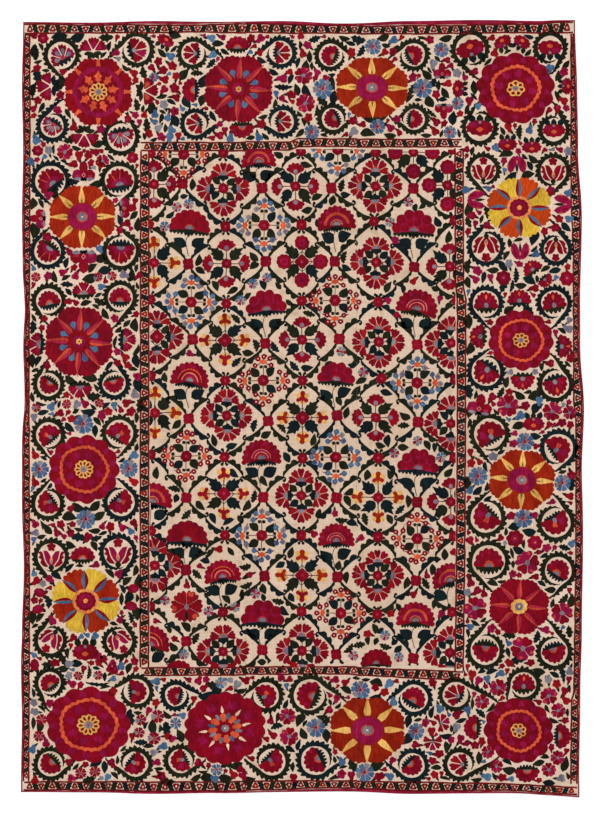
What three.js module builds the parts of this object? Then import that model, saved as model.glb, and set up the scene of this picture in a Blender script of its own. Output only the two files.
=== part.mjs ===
// A large suzani: an embroidered cotton cloth that lies flat, seen from above.
// Five widths of narrow loom cloth are sewn side by side, and a tape is sewn round the edge.
// Millimetres, +X to the right, +Y to the top of the cloth, +Z up. The cloth rests on z = 0.
import * as THREE from "three";

// The whole cloth, with its tape
const CLOTH_WIDTH = 1800;
const CLOTH_LENGTH = 2490;
const CLOTH_THICKNESS = 2;

// The three inner panels are full loom widths, and the two side panels fill what is left
const LOOM_WIDTH = 359;
const SEAMS = [-1.5, -0.5, 0.5, 1.5].map((widths) => widths * LOOM_WIDTH);
const SEAM_GAP = 0.3;

// The edging tape
const TAPE_THICKNESS = 1.6;
const SIDE_TAPE_WIDTH = 4;

// How finely the sheets are divided
const COLUMNS_PER_PANEL = 6;
const ROWS = 40;

const GROUND_COLOUR = "#dcc6a0";
const TAPE_COLOUR = "#8c1526";

// How far each side of the cloth stands out from a straight line. v runs up the cloth, u across it.
const LEFT_SIDE = [
  { v: 1238, out: -2 },
  { v: 1032, out: 2 },
  { v: 825, out: -2 },
  { v: 618, out: 2 },
  { v: 463, out: 0 },
  { v: 308, out: -8 },
  { v: 205, out: -2 },
  { v: 24, out: -7 },
  { v: -105, out: 2 },
  { v: -312, out: 2 },
  { v: -518, out: -5 },
  { v: -725, out: 2 },
  { v: -828, out: 5 },
  { v: -1035, out: 2 },
  { v: -1229, out: 5 },
];
const RIGHT_SIDE = [
  { v: 1238, out: -16 },
  { v: 1032, out: -10 },
  { v: 825, out: -6 },
  { v: 618, out: 6 },
  { v: 308, out: 0 },
  { v: 205, out: 0 },
  { v: -2, out: 13 },
  { v: -208, out: 6 },
  { v: -415, out: 10 },
  { v: -725, out: 6 },
  { v: -931, out: 0 },
  { v: -1229, out: -3 },
];
const TOP_SIDE = [
  { u: -889, out: 0 },
  { u: -682, out: -3 },
  { u: -475, out: 3 },
  { u: -269, out: 0 },
  { u: -62, out: 3 },
  { u: 144, out: -6 },
  { u: 351, out: 3 },
  { u: 558, out: 6 },
  { u: 764, out: 3 },
  { u: 868, out: 6 },
];
const BOTTOM_SIDE = [
  { u: -889, out: -3 },
  { u: -682, out: -3 },
  { u: -475, out: 3 },
  { u: -269, out: 0 },
  { u: -62, out: -3 },
  { u: 144, out: -6 },
  { u: 351, out: 3 },
  { u: 661, out: 0 },
  { u: 868, out: 10 },
  { u: 894, out: 13 },
];

// How much of the tape shows along the top and the bottom, where it rolls over the edge unevenly
const TOP_TAPE = [
  { u: -889, width: 4 },
  { u: -617, width: 6 },
  { u: -440, width: 10 },
  { u: -214, width: 4 },
  { u: -4, width: 10 },
  { u: 141, width: 4 },
  { u: 180, width: 5 },
  { u: 232, width: 10 },
  { u: 545, width: 14 },
  { u: 771, width: 8 },
  { u: 884, width: 4 },
];
const BOTTOM_TAPE = [
  { u: -889, width: 4 },
  { u: -634, width: 5 },
  { u: -488, width: 7 },
  { u: -198, width: 5 },
  { u: -101, width: 4 },
  { u: 28, width: 8 },
  { u: 319, width: 9 },
  { u: 609, width: 6 },
  { u: 803, width: 4 },
  { u: 894, width: 4 },
];

// Where the cloth cockles: the middle of each low swell, how far it reaches, and how high it stands
const COCKLES = [
  { u: -900, v: 825, across: 110, along: 130, height: 2.5 },
  { u: -900, v: 300, across: 120, along: 140, height: 4 },
  { u: -900, v: 24, across: 100, along: 100, height: 3 },
  { u: -900, v: -518, across: 130, along: 150, height: 4 },
  { u: -900, v: -1100, across: 100, along: 110, height: 2.5 },
  { u: 900, v: 960, across: 130, along: 170, height: 4 },
  { u: 900, v: 240, across: 120, along: 150, height: 3.5 },
  { u: 900, v: -300, across: 110, along: 130, height: 3 },
  { u: 900, v: -960, across: 120, along: 150, height: 3.5 },
  { u: -682, v: 1245, across: 150, along: 100, height: 3 },
  { u: -250, v: 1245, across: 130, along: 90, height: 2.5 },
  { u: 144, v: 1245, across: 130, along: 110, height: 4 },
  { u: 660, v: 1245, across: 140, along: 90, height: 3 },
  { u: -690, v: -1245, across: 150, along: 100, height: 3 },
  { u: -200, v: -1245, across: 120, along: 80, height: 2.5 },
  { u: 150, v: -1245, across: 140, along: 110, height: 4 },
  { u: 620, v: -1245, across: 130, along: 90, height: 2.5 },
  { u: 900, v: -1245, across: 90, along: 90, height: 5 },
  { u: -360, v: 560, across: 140, along: 280, height: 2 },
  { u: 370, v: -430, across: 130, along: 300, height: 2 },
  { u: -700, v: -150, across: 130, along: 220, height: 1.5 },
  { u: 700, v: 560, across: 130, along: 240, height: 1.5 },
  { u: -350, v: -800, across: 130, along: 240, height: 1.5 },
  { u: 360, v: 820, across: 130, along: 230, height: 2 },
];

const HALF_WIDTH = CLOTH_WIDTH / 2;
const HALF_LENGTH = CLOTH_LENGTH / 2;

function between(low, high, share) {
  return low + (high - low) * share;
}

// The value of one column of a table at a place along it, easing from row to row.
function fromTable(table, key, column, place) {
  const rows = [...table].sort((a, b) => a[key] - b[key]);
  if (place <= rows[0][key]) return rows[0][column];
  const next = rows.findIndex((row) => row[key] >= place);
  if (next < 0) return rows[rows.length - 1][column];
  const before = rows[next - 1];
  const after = rows[next];
  const share = (place - before[key]) / (after[key] - before[key]);
  const eased = (1 - Math.cos(Math.PI * share)) / 2;
  return between(before[column], after[column], eased);
}

// A side pulls the cloth beside it in and out, and that fades towards the middle.
function fade(share) {
  return Math.abs(share) ** 3;
}

// Where a point of the straight cut lies once the sides are as uneven as they are.
function pulled(u, v) {
  const side = u < 0 ? LEFT_SIDE : RIGHT_SIDE;
  const end = v < 0 ? BOTTOM_SIDE : TOP_SIDE;
  const sideways = fromTable(side, "v", "out", v) * fade(u / HALF_WIDTH) * Math.sign(u);
  const endways = fromTable(end, "u", "out", u) * fade(v / HALF_LENGTH) * Math.sign(v);
  return { x: u + sideways, y: v + endways };
}

// How far the cloth's underside stands off the surface that it lies on.
function lift(u, v) {
  let height = 0;
  for (const cockle of COCKLES) {
    const distance = Math.hypot((u - cockle.u) / cockle.across, (v - cockle.v) / cockle.along);
    if (distance < 1) {
      const hill = (1 + Math.cos(Math.PI * distance)) / 2;
      height = Math.max(height, cockle.height * hill);
    }
  }
  return height;
}

// Columns from one place across the cloth to another, both included.
function columnsBetween(from, to, count) {
  return Array.from({ length: count + 1 }, (_, i) => between(from, to, i / count));
}

// A closed sheet over the given columns, from the lower edge to the upper edge at each of them.
function sheetGeometry(columns, rows, lowerEdge, upperEdge, thickness) {
  const places = [];
  const layerSize = columns.length * (rows + 1);
  for (const top of [0, thickness]) {
    for (const u of columns) {
      for (let row = 0; row <= rows; row += 1) {
        const v = between(lowerEdge(u), upperEdge(u), row / rows);
        const { x, y } = pulled(u, v);
        places.push(x, y, lift(u, v) + top);
      }
    }
  }
  const at = (column, row, layer) => layer * layerSize + column * (rows + 1) + row;
  const faces = [];
  const addQuad = (a, b, c, d) => faces.push(a, b, c, a, c, d);
  const lastColumn = columns.length - 1;
  for (let column = 0; column < lastColumn; column += 1) {
    for (let row = 0; row < rows; row += 1) {
      addQuad(at(column, row, 1), at(column + 1, row, 1), at(column + 1, row + 1, 1), at(column, row + 1, 1));
      addQuad(at(column, row, 0), at(column, row + 1, 0), at(column + 1, row + 1, 0), at(column + 1, row, 0));
    }
    addQuad(at(column, 0, 0), at(column + 1, 0, 0), at(column + 1, 0, 1), at(column, 0, 1));
    addQuad(at(column + 1, rows, 0), at(column, rows, 0), at(column, rows, 1), at(column + 1, rows, 1));
  }
  for (let row = 0; row < rows; row += 1) {
    addQuad(at(0, row + 1, 0), at(0, row, 0), at(0, row, 1), at(0, row + 1, 1));
    addQuad(at(lastColumn, row, 0), at(lastColumn, row + 1, 0), at(lastColumn, row + 1, 1), at(lastColumn, row, 1));
  }
  const geometry = new THREE.BufferGeometry();
  geometry.setAttribute("position", new THREE.Float32BufferAttribute(places, 3));
  geometry.setIndex(faces);
  geometry.computeVertexNormals();
  return geometry;
}

// The ends of the panels and of the side tapes, just inside the tape along the top and the bottom.
function insideTop(u) {
  return HALF_LENGTH - fromTable(TOP_TAPE, "u", "width", u) - SEAM_GAP;
}

function insideBottom(u) {
  return -HALF_LENGTH + fromTable(BOTTOM_TAPE, "u", "width", u) + SEAM_GAP;
}

function groundMaterial() {
  return new THREE.MeshStandardMaterial({ color: GROUND_COLOUR, roughness: 0.85, metalness: 0 });
}

function tapeMaterial() {
  return new THREE.MeshStandardMaterial({ color: TAPE_COLOUR, roughness: 0.6, metalness: 0 });
}

// The five panels: strips between the side tapes and the seams.
function panelStrips() {
  const inside = HALF_WIDTH - SIDE_TAPE_WIDTH - SEAM_GAP / 2;
  const stops = [-inside, ...SEAMS, inside];
  return stops.slice(1).map((stop, i) => ({
    name: `ground_panel_${i + 1}`,
    columns: columnsBetween(stops[i] + SEAM_GAP / 2, stop - SEAM_GAP / 2, COLUMNS_PER_PANEL),
  }));
}

function sideTapeStrips() {
  const inner = HALF_WIDTH - SIDE_TAPE_WIDTH;
  return [
    { name: "edging_left", columns: [-HALF_WIDTH, -inner] },
    { name: "edging_right", columns: [inner, HALF_WIDTH] },
  ];
}

function strip({ name, columns }, thickness, material) {
  const mesh = new THREE.Mesh(sheetGeometry(columns, ROWS, insideBottom, insideTop, thickness), material);
  mesh.name = name;
  return mesh;
}

// The tape along one end runs over every panel and over the ends of the side tapes.
function endTape(name, columns, lowerEdge, upperEdge) {
  const geometry = sheetGeometry(columns, 1, lowerEdge, upperEdge, TAPE_THICKNESS);
  const mesh = new THREE.Mesh(geometry, tapeMaterial());
  mesh.name = name;
  return mesh;
}

// The origin goes under the middle of the finished cloth.
function centred(group) {
  const middle = new THREE.Box3().setFromObject(group, true).getCenter(new THREE.Vector3());
  group.position.set(-middle.x, -middle.y, 0);
  return group;
}

const panels = panelStrips();
const sideTapes = sideTapeStrips();
const everyColumn = [...panels, ...sideTapes].flatMap((piece) => piece.columns).sort((a, b) => a - b);

const suzani = new THREE.Group();
for (const panel of panels) suzani.add(strip(panel, CLOTH_THICKNESS, groundMaterial()));
for (const tape of sideTapes) suzani.add(strip(tape, TAPE_THICKNESS, tapeMaterial()));
suzani.add(endTape("edging_top", everyColumn, (u) => insideTop(u) + SEAM_GAP, () => HALF_LENGTH));
suzani.add(endTape("edging_bottom", everyColumn, () => -HALF_LENGTH, (u) => insideBottom(u) - SEAM_GAP));

export default centred(suzani);
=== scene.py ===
# %% [markdown]
# # A suzani, a large embroidered cloth
# Five widths of narrow cotton cloth are sewn side by side, worked all over with silk, and edged with a tape.
# It lies flat and is seen from straight above. The CAD model gives the panels, the tape and how they cockle.
# Here those plain solids get their woven cloth, and every flower, leaf and scroll is laid on them as silk
# that stands a little above the cloth, as real couched stitches do.

import cmath
import math
import random

import bmesh
import bpy
import numpy as np
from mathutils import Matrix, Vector
from mathutils.bvhtree import BVHTree


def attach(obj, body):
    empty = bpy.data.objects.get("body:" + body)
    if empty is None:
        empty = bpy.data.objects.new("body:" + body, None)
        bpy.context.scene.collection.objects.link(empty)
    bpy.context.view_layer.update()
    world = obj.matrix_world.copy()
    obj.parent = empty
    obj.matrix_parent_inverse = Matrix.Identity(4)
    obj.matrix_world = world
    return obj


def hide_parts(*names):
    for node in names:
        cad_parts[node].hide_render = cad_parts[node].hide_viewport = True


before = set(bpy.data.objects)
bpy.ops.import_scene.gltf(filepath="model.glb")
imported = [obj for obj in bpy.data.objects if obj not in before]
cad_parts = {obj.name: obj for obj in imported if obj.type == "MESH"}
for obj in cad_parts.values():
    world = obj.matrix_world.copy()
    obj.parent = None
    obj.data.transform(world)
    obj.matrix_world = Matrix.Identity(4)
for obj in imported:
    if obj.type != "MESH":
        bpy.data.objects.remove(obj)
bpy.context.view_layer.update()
PANELS = [f"ground_panel_{number}" for number in range(1, 6)]
hand = random.Random(12)

# %% [markdown]
# ## The chart
# An embroiderer draws the pattern on the cloth before sewing. That drawing is the chart here: places run
# across from the left and down from the top, and one unit is a little over 3 mm of cloth. A place is one
# complex number, because adding them moves a motif and multiplying them turns it.

# %% From the chart to the cloth
CHART_UNIT = 0.003229
CHART_MIDDLE = 302.5 + 408.5j


def on_cloth(points):
    """Places on the chart as metres across and up the cloth."""
    from_middle = (np.asarray(points) - CHART_MIDDLE) * CHART_UNIT
    return from_middle.real, -from_middle.imag


def on_chart(x, y):
    return CHART_MIDDLE + (x - 1j * y) / CHART_UNIT


def charted(rows):
    """The rows of a table, with the two numbers of each place joined into one."""
    for across, down, *rest in rows:
        yield across + 1j * down, *rest


print("one metre of cloth is", round(1 / CHART_UNIT, 1), "chart units")

# %% [markdown]
# ## The camera
# The picture looks straight down from over 6 m with a long lens, so that the cloth shows no perspective.

# %% Camera
VIEW_MIDDLE = 300 + 408j
VIEW_LENGTH = 816 * CHART_UNIT
LENS_MM = 85
SENSOR_MM = 36


def into_scene(name, data):
    """A new object in the scene."""
    item = bpy.data.objects.new(name, data)
    bpy.context.scene.collection.objects.link(item)
    return item


camera_data = bpy.data.cameras.new("camera")
camera_data.lens = LENS_MM
camera_data.sensor_width = SENSOR_MM
camera = into_scene("camera", camera_data)
camera_x, camera_y = on_cloth(VIEW_MIDDLE)
camera.location = (float(camera_x), float(camera_y), VIEW_LENGTH * LENS_MM / SENSOR_MM)
bpy.context.scene.camera = camera
print("camera at", tuple(camera.location))

# %% [markdown]
# ## The lie of the cloth
# The CAD panels carry the uneven sides and the low cockles, as a coarse grid of corners. A smooth curve
# through those corners gives a fine grid, because real cloth bends and doesn't fold along straight lines.

# %% A smooth grid for each panel
ROWS_ALONG = 251
EDGE_COLUMNS = [0, 0.01, 0.03, 0.08, 0.16]
INNER_COLUMNS = list(np.linspace(0.33, 5.67, 33))
COLUMNS_ACROSS = np.array(EDGE_COLUMNS + INNER_COLUMNS + [6 - place for place in reversed(EDGE_COLUMNS)])


def corners_of(name):
    """The corners of a CAD node, each once, in order across the cloth."""
    places = np.array([vertex.co[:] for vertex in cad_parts[name].data.vertices])
    return np.unique(places.round(5), axis=0)


def columns_of(name, least_gap=0.015):
    """The underside of a CAD panel as columns by rows of corners."""
    places = corners_of(name)
    breaks = np.where(np.diff(places[:, 0]) > least_gap)[0] + 1
    columns = []
    for column in np.split(places, breaks):
        by_row = column[np.argsort(column[:, 1], kind="stable")].reshape(-1, 2, 3)
        lower = by_row[:, :, 2].argmin(axis=1)
        columns.append(by_row[np.arange(len(by_row)), lower])
    return np.array(columns)


def smoothly(values, places):
    """Values at places between those of a list, on a smooth curve through them all."""
    slopes = np.gradient(values, axis=0)
    first = np.clip(places.astype(int), 0, len(values) - 2)
    t = (places - first).reshape(-1, *[1] * (values.ndim - 1))
    start = (2 * t**3 - 3 * t**2 + 1) * values[first] + (t**3 - 2 * t**2 + t) * slopes[first]
    end = (3 * t**2 - 2 * t**3) * values[first + 1] + (t**3 - t**2) * slopes[first + 1]
    return start + end


def fine_grid(name):
    coarse = columns_of(name)
    fine = smoothly(coarse, COLUMNS_ACROSS)
    rows = np.linspace(0, coarse.shape[1] - 1, ROWS_ALONG)
    fine = smoothly(fine.transpose(1, 0, 2), rows).transpose(1, 0, 2)
    fine[:, :, 2] = np.maximum(fine[:, :, 2], 0)
    return fine


grids = {name: fine_grid(name) for name in PANELS}
first_grid = grids[PANELS[0]]
print("each panel's grid is", first_grid.shape[:2], "and its highest cockle", first_grid[:, :, 2].max())

# %% [markdown]
# The silk has to lie on the cloth wherever it is sewn. One map of heights over the whole cloth, read by
# dropping a line onto the fine grid every centimetre, lets any stitch find its height at once.

# %% A map of heights
MAP_STEP = 0.01
MAP_REACH = (0.95, 1.3)


def grid_faces(columns, rows):
    corner = np.arange(columns * rows).reshape(columns, rows)
    around = [corner[:-1, :-1], corner[1:, :-1], corner[1:, 1:], corner[:-1, 1:]]
    return np.stack(around, axis=-1).reshape(-1, 4)


def lie_of_cloth():
    points = []
    faces = []
    for grid in grids.values():
        faces.extend((grid_faces(*grid.shape[:2]) + len(points)).tolist())
        points.extend(grid.reshape(-1, 3).tolist())
    tree = BVHTree.FromPolygons(points, faces)
    across = np.arange(-MAP_REACH[0], MAP_REACH[0], MAP_STEP)
    along = np.arange(-MAP_REACH[1], MAP_REACH[1], MAP_STEP)
    heights = np.zeros((len(across), len(along)))
    down = Vector((0, 0, -1))
    for i, x in enumerate(across):
        for j, y in enumerate(along):
            place = tree.ray_cast(Vector((x, y, 1)), down)[0] or tree.find_nearest(Vector((x, y, 0)))[0]
            heights[i, j] = place.z
    return heights


height_map = lie_of_cloth()


def lie_at(x, y):
    """How high the underside of the cloth lies at places given in metres."""
    across = np.clip((np.asarray(x) + MAP_REACH[0]) / MAP_STEP, 0, height_map.shape[0] - 1.001)
    along = np.clip((np.asarray(y) + MAP_REACH[1]) / MAP_STEP, 0, height_map.shape[1] - 1.001)
    i = across.astype(int)
    j = along.astype(int)
    s = across - i
    t = along - j
    near = height_map[i, j] * (1 - t) + height_map[i, j + 1] * t
    far = height_map[i + 1, j] * (1 - t) + height_map[i + 1, j + 1] * t
    return near * (1 - s) + far * s


print("the map has", height_map.size, "places, from", height_map.min(), "to", height_map.max())

# %% [markdown]
# ## Materials
# Everything here is thread. Silk that lies flat in long stitches shines a little along them, and that sheen
# and the shade between the threads are painted into its colour as lighter and darker streaks along the
# stitches. Each batch took the dye differently, so a field of one colour also changes slowly over the cloth.
# Cotton is duller, with thick and thin threads. Colours are written as a dyer sees them, from 0 to 255.

# %% Helpers for materials
def dye(red, green, blue):
    """A colour as the shader wants it."""
    shares = np.array([red, green, blue]) / 255
    linear = np.where(shares <= 0.04045, shares / 12.92, ((shares + 0.055) / 1.055) ** 2.4)
    return (*linear.tolist(), 1.0)


class Finish:
    """A material with its nodes, and short ways to add to them."""

    def __init__(self, name, roughness, sheen):
        self.material = bpy.data.materials.new(name)
        self.material.use_nodes = True
        self.nodes = self.material.node_tree.nodes
        self.shader = self.nodes["Principled BSDF"]
        self.feed(self.shader, {"Roughness": roughness, "Sheen Weight": sheen, "Sheen Roughness": 0.4,
                                "Specular IOR Level": 0.03})
        self.place = self.nodes.new("ShaderNodeTexCoord").outputs["Object"]

    def feed(self, node, values):
        """Gives a node's sockets their numbers and colours, or links other nodes to them."""
        for socket, value in values.items():
            if isinstance(value, bpy.types.NodeSocket):
                self.material.node_tree.links.new(value, node.inputs[socket])
            else:
                node.inputs[socket].default_value = value

    def add(self, kind, output, values, **settings):
        """A new node, as the output of it that another node needs."""
        node = self.nodes.new("ShaderNode" + kind)
        for setting, value in settings.items():
            setattr(node, setting, value)
        self.feed(node, values)
        return node.outputs[output]

    def stretched(self, scale):
        return self.add("Mapping", "Vector", {"Vector": self.place, "Scale": scale})

    def noise(self, scale, detail=2.0):
        """Noise over the cloth, with so many blotches to a metre across, along and up."""
        return self.add("TexNoise", "Fac", {"Vector": self.stretched(scale), "Scale": 1.0, "Detail": detail})

    def between(self, value, low, high, soft_from=0.3, soft_to=0.7):
        """A value spread from one number to another."""
        return self.add("MapRange", "Result", {"Value": value, "From Min": soft_from, "From Max": soft_to,
                                               "To Min": low, "To Max": high})

    def math(self, operation, first, second):
        return self.add("Math", "Value", {0: first, 1: second}, operation=operation)

    def mixed(self, share, first, second):
        """One colour turning into another."""
        return self.add("Mix", "Result", {"Factor": share, "A": first, "B": second}, data_type="RGBA")

    def shaded(self, colour, value):
        """A colour made lighter or darker."""
        return self.add("HueSaturation", "Color", {"Color": colour, "Value": value})

    def spot(self, scale):
        """1 at the middle of the cloth, less and less away from it, and 0 beyond one over the scale."""
        return self.add("TexGradient", "Fac", {"Vector": self.stretched(scale)}, gradient_type="SPHERICAL")

    def bumped(self, height, depth):
        self.feed(self.shader, {"Normal": self.add("Bump", "Normal", {"Distance": depth, "Height": height})})


# %% Silk in every colour of the cloth
SILKS = {
    "crimson": ((128, 4, 25), (106, 3, 23)),
    "wine": ((130, 5, 18), (112, 4, 18)),
    "maroon": ((112, 16, 18), (88, 14, 15)),
    "madder": ((140, 13, 22), (116, 8, 20)),
    "magenta": ((140, 14, 60), (118, 8, 48)),
    "rose": ((206, 128, 118), (186, 90, 94)),
    "rose_red": ((166, 36, 62), (146, 26, 52)),
    "rust": ((150, 36, 8), (132, 25, 6)),
    "copper": ((138, 30, 7), (120, 21, 5)),
    "sienna": ((184, 62, 14), (168, 52, 11)),
    "orange": ((204, 88, 52), (186, 68, 42)),
    "ember": ((188, 72, 46), (160, 50, 38)),
    "apricot": ((222, 146, 82), (204, 114, 58)),
    "yellow": ((206, 168, 54), (190, 146, 42)),
    "straw": ((216, 170, 94), (198, 142, 68)),
    "green": ((30, 32, 18), (21, 24, 13)),
    "teal": ((14, 29, 31), (12, 20, 24)),
    "blue": ((72, 105, 133), (54, 80, 114)),
    "slate": ((124, 122, 126), (100, 92, 108)),
    "cream": ((224, 198, 172), (210, 178, 150)),
    "stem": ((76, 60, 34), (48, 46, 30)),
}


def silk_finish(name, light, deep):
    """Couched silk: long stitches along the cloth, in batches that took the dye differently."""
    finish = Finish(f"silk_{name}", 0.52, 0.06)
    sheen_streaks = finish.noise((330, 62, 330), 3.0)
    batches = finish.noise((26, 15, 20), 2.0)
    colour = finish.mixed(finish.between(batches, 0, 1, 0.35, 0.65), dye(*light), dye(*deep))
    skein = finish.add("Attribute", "Fac", {}, attribute_name="skein")
    # Painted sheen and shade: the colour is lighter along the streaks where the silk is smoother and darker
    # between them; skein is each patch's own random lightness.
    value = finish.math("MULTIPLY", finish.between(sheen_streaks, 0.56, 1.12), skein)
    finish.feed(finish.shader, {"Sheen Tint": dye(*light), "Base Color": finish.shaded(colour, value),
                                "Roughness": finish.between(sheen_streaks, 0.62, 0.42)})
    finish.bumped(finish.noise((1500, 130, 1500), 1.0), 0.0004)
    return finish.material


silks = {name: silk_finish(name, *tones) for name, tones in SILKS.items()}
print(len(silks), "silks")

# %% [markdown]
# The ground is hand-woven cotton. Two sets of fine waves at right angles are its threads, a long noise is
# its thick and thin yarns, and wide soft noises are the yellowing and the stains of age.

# %% Cotton for the ground
THREADS_PER_METRE = 1500
WAVE_STRETCH = 20


def cotton_finish():
    finish = Finish("cotton_ground", 0.88, 0.1)
    yarns_across = finish.noise((18, 420, 100), 3.0)
    yarns_along = finish.noise((420, 18, 100), 3.0)
    yarns = finish.math("ADD", yarns_across, yarns_along)
    ageing = finish.noise((5, 4, 4), 4.0)
    stains = finish.noise((22, 22, 20), 3.0)
    clean = finish.mixed(finish.between(ageing, 0, 1), dye(227, 201, 181), dye(211, 184, 160))
    # The ground is made darker and browner towards the middle of the cloth, over the field; used is the
    # ground with that darkening.
    darker_towards_middle = finish.between(finish.spot((1.33, 0.87, 0)), 0, 0.3, 0.05, 0.4)
    used = finish.mixed(darker_towards_middle, clean, dye(190, 158, 128))
    worn = finish.mixed(finish.between(stains, 0, 0.55, 0.53, 0.78), used, dye(168, 138, 98))
    tinted = finish.shaded(worn, finish.between(yarns, 0.76, 1.03, 0.7, 1.3))
    finish.feed(finish.shader, {"Base Color": tinted, "Roughness": finish.between(stains, 0.92, 0.82)})
    threads = {"Vector": finish.place, "Scale": THREADS_PER_METRE * math.tau / WAVE_STRETCH,
               "Distortion": 0.6}
    weave = [finish.add("TexWave", "Fac", threads, bands_direction=direction) for direction in ("X", "Y")]
    finish.bumped(finish.math("ADD", finish.math("MULTIPLY", *weave), yarns), 0.0003)
    return finish.material


cotton = cotton_finish()


def tape_finish():
    """A braided silk tape: slanting ribs, worn paler in places."""
    finish = Finish("silk_edging_tape", 0.58, 0.25)
    wear = finish.noise((30, 30, 30), 3.0)
    ribs = finish.noise((700, 700, 300), 1.0)
    colour = finish.mixed(finish.between(wear, 0, 1, 0.4, 0.7), dye(112, 8, 32), dye(148, 30, 58))
    finish.feed(finish.shader, {"Base Color": finish.shaded(colour, finish.between(ribs, 0.78, 1.2)),
                                "Roughness": finish.between(wear, 0.52, 0.68)})
    finish.bumped(ribs, 0.0006)
    return finish.material


tape_silk = tape_finish()
print("cotton and tape are ready")

# %% [markdown]
# ## The five panels
# Each panel is one length of loom cloth, about 36 cm wide. It is made as a closed thin sheet on the fine
# grid. Its long edges dip where they are drawn together by the sewing, so that the seams show as faint lines.

# %% Panels of cotton
GROUND_BODY = 0.0013
SEAM_DIPS = np.array([0.0008, 0.0004, 0.00015, 0.00005, 0])


def closed_sheet(name, top, under, material):
    """A closed sheet between two grids of the same size."""
    columns, rows = top.shape[:2]
    faces = grid_faces(columns, rows)
    size = columns * rows
    corner = np.arange(size).reshape(columns, rows)
    rim = np.concatenate([corner[:, 0], corner[-1, 1:], corner[-2::-1, -1], corner[0, -2:0:-1]])
    after = np.roll(rim, -1)
    walls = np.stack([rim + size, after + size, after, rim], axis=-1)
    every = np.concatenate([faces, faces[:, ::-1] + size, walls])
    mesh = bpy.data.meshes.new(name)
    mesh.from_pydata(np.concatenate([top.reshape(-1, 3), under.reshape(-1, 3)]).tolist(), [], every.tolist())
    mesh.materials.append(material)
    mesh.shade_smooth()
    piece = into_scene(name, mesh)
    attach(piece, "root")
    return piece


def sew_panel(node):
    under = grids[node]
    top = under.copy()
    top[:, :, 2] += GROUND_BODY
    for column, dip in enumerate(SEAM_DIPS):
        top[[column, -1 - column], :, 2] -= dip
    piece = closed_sheet(node.replace("ground_panel", "cotton_panel"), top, under, cotton)
    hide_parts(node)
    return piece


panels = [sew_panel(node) for node in PANELS]
print("panels have", [len(panel.data.polygons) for panel in panels], "faces")

# %% [markdown]
# ## The edging tape
# A narrow crimson tape is sewn along all four sides. It is the same kind of sheet, rounded over its width.
# Its inner edge follows the panels and its outer edge follows the CAD tape, which is uneven at both ends
# of the cloth, where the tape rolls over the edge.

# %% Where the tape runs
SEWING_GAP = 0.0003
FAR_ENOUGH = 0.002
LEAST_STEP = 0.02
TAPE_STATIONS = 320
def outer_line(node, inner, along):
    """The corners of a CAD tape away from the panels, as a smooth line."""
    beside = 1 - along
    corners = corners_of(node)
    inside = np.interp(corners[:, along], inner[:, along], inner[:, beside])
    outside = corners[np.abs(corners[:, beside] - inside) > FAR_ENOUGH]
    order = outside[np.lexsort((outside[:, 2], outside[:, along]))]
    kept = [order[0]]
    for place in order[1:]:
        if place[along] - kept[-1][along] > LEAST_STEP:
            kept.append(place)
    kept[-1] = order[order[:, along] == order[-1, along]][0]
    kept = np.array(kept)
    return smoothly(kept, np.linspace(0, len(kept) - 1, TAPE_STATIONS))


ends_up = np.concatenate([grids[name][:, -1] for name in PANELS])
ends_down = np.concatenate([grids[name][:, 0] for name in PANELS])
left_side = grids[PANELS[0]][0]
right_side = grids[PANELS[-1]][-1]
TAPES = [
    ("edging_top", ends_up, 0, 1),
    ("edging_bottom", ends_down, 0, -1),
    ("edging_left", left_side, 1, -1),
    ("edging_right", right_side, 1, 1),
]

# %% Sewing the tape on
TAPE_BODY = 0.0015
TAPE_EDGE = 0.0003
TAPE_ACROSS = np.array([0, 0.05, 0.15, 0.32, 0.5, 0.68, 0.85, 0.95, 1])


def sew_tape(node, edge, along, outward):
    outer = outer_line(node, edge, along)
    inner = outer.copy()
    beside = 1 - along
    inner[:, beside] = np.interp(outer[:, along], edge[:, along], edge[:, beside]) + outward * SEWING_GAP
    under = inner[None] + (outer - inner)[None] * TAPE_ACROSS[:, None, None]
    top = under.copy()
    rounded = (1 - np.abs(2 * TAPE_ACROSS - 1) ** 4) ** 0.5
    top[:, :, 2] += TAPE_EDGE + (TAPE_BODY - TAPE_EDGE) * rounded[:, None]
    if (along == 0) != (outward < 0):
        top = top[::-1]
        under = under[::-1]
    piece = closed_sheet(node.replace("edging", "edging_tape"), top, under, tape_silk)
    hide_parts(node)
    return piece


tapes = [sew_tape(*row) for row in TAPES]
print("tapes have", [len(tape.data.polygons) for tape in tapes], "faces")

# %% [markdown]
# ## How a motif is drawn
# Every patch of silk is one of two things. A round patch is an outline round a heart. A band is a left and a
# right side that run together, such as a leaf, a stem or a scroll. A motif draws them in its own directions:
# the real part of a point runs the way the motif faces and the imaginary part runs to its right.

# %% Patches of silk
LEAF, PETAL, MARK, HEART, TOP = range(5)
SKEIN_LIGHTNESS = (0.88, 1.12)
DARK_SILKS = ("green", "green", "teal")
sewn = []
cut_edge = {"box": None}


def clipped(outline, box):
    """The part of an outline that lies inside a box, given as left, top, right and bottom."""
    left, top, right, bottom = box
    sides = [(1, left), (-1, -right), (-1j, top), (1j, -bottom)]
    for turn, least in sides:
        depth = (outline * turn).real - least
        kept = []
        for i in range(len(outline)):
            before, here = depth[i - 1], depth[i]
            if (before < 0) != (here < 0):
                kept.append(outline[i - 1] + (outline[i] - outline[i - 1]) * before / (before - here))
            if here >= 0:
                kept.append(outline[i])
        outline = np.array(kept, complex)
        if len(outline) < 3:
            return None
    return outline


def inside(points, box):
    left, top, right, bottom = box
    return (points.real > left) & (points.real < right) & (points.imag > top) & (points.imag < bottom)


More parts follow.
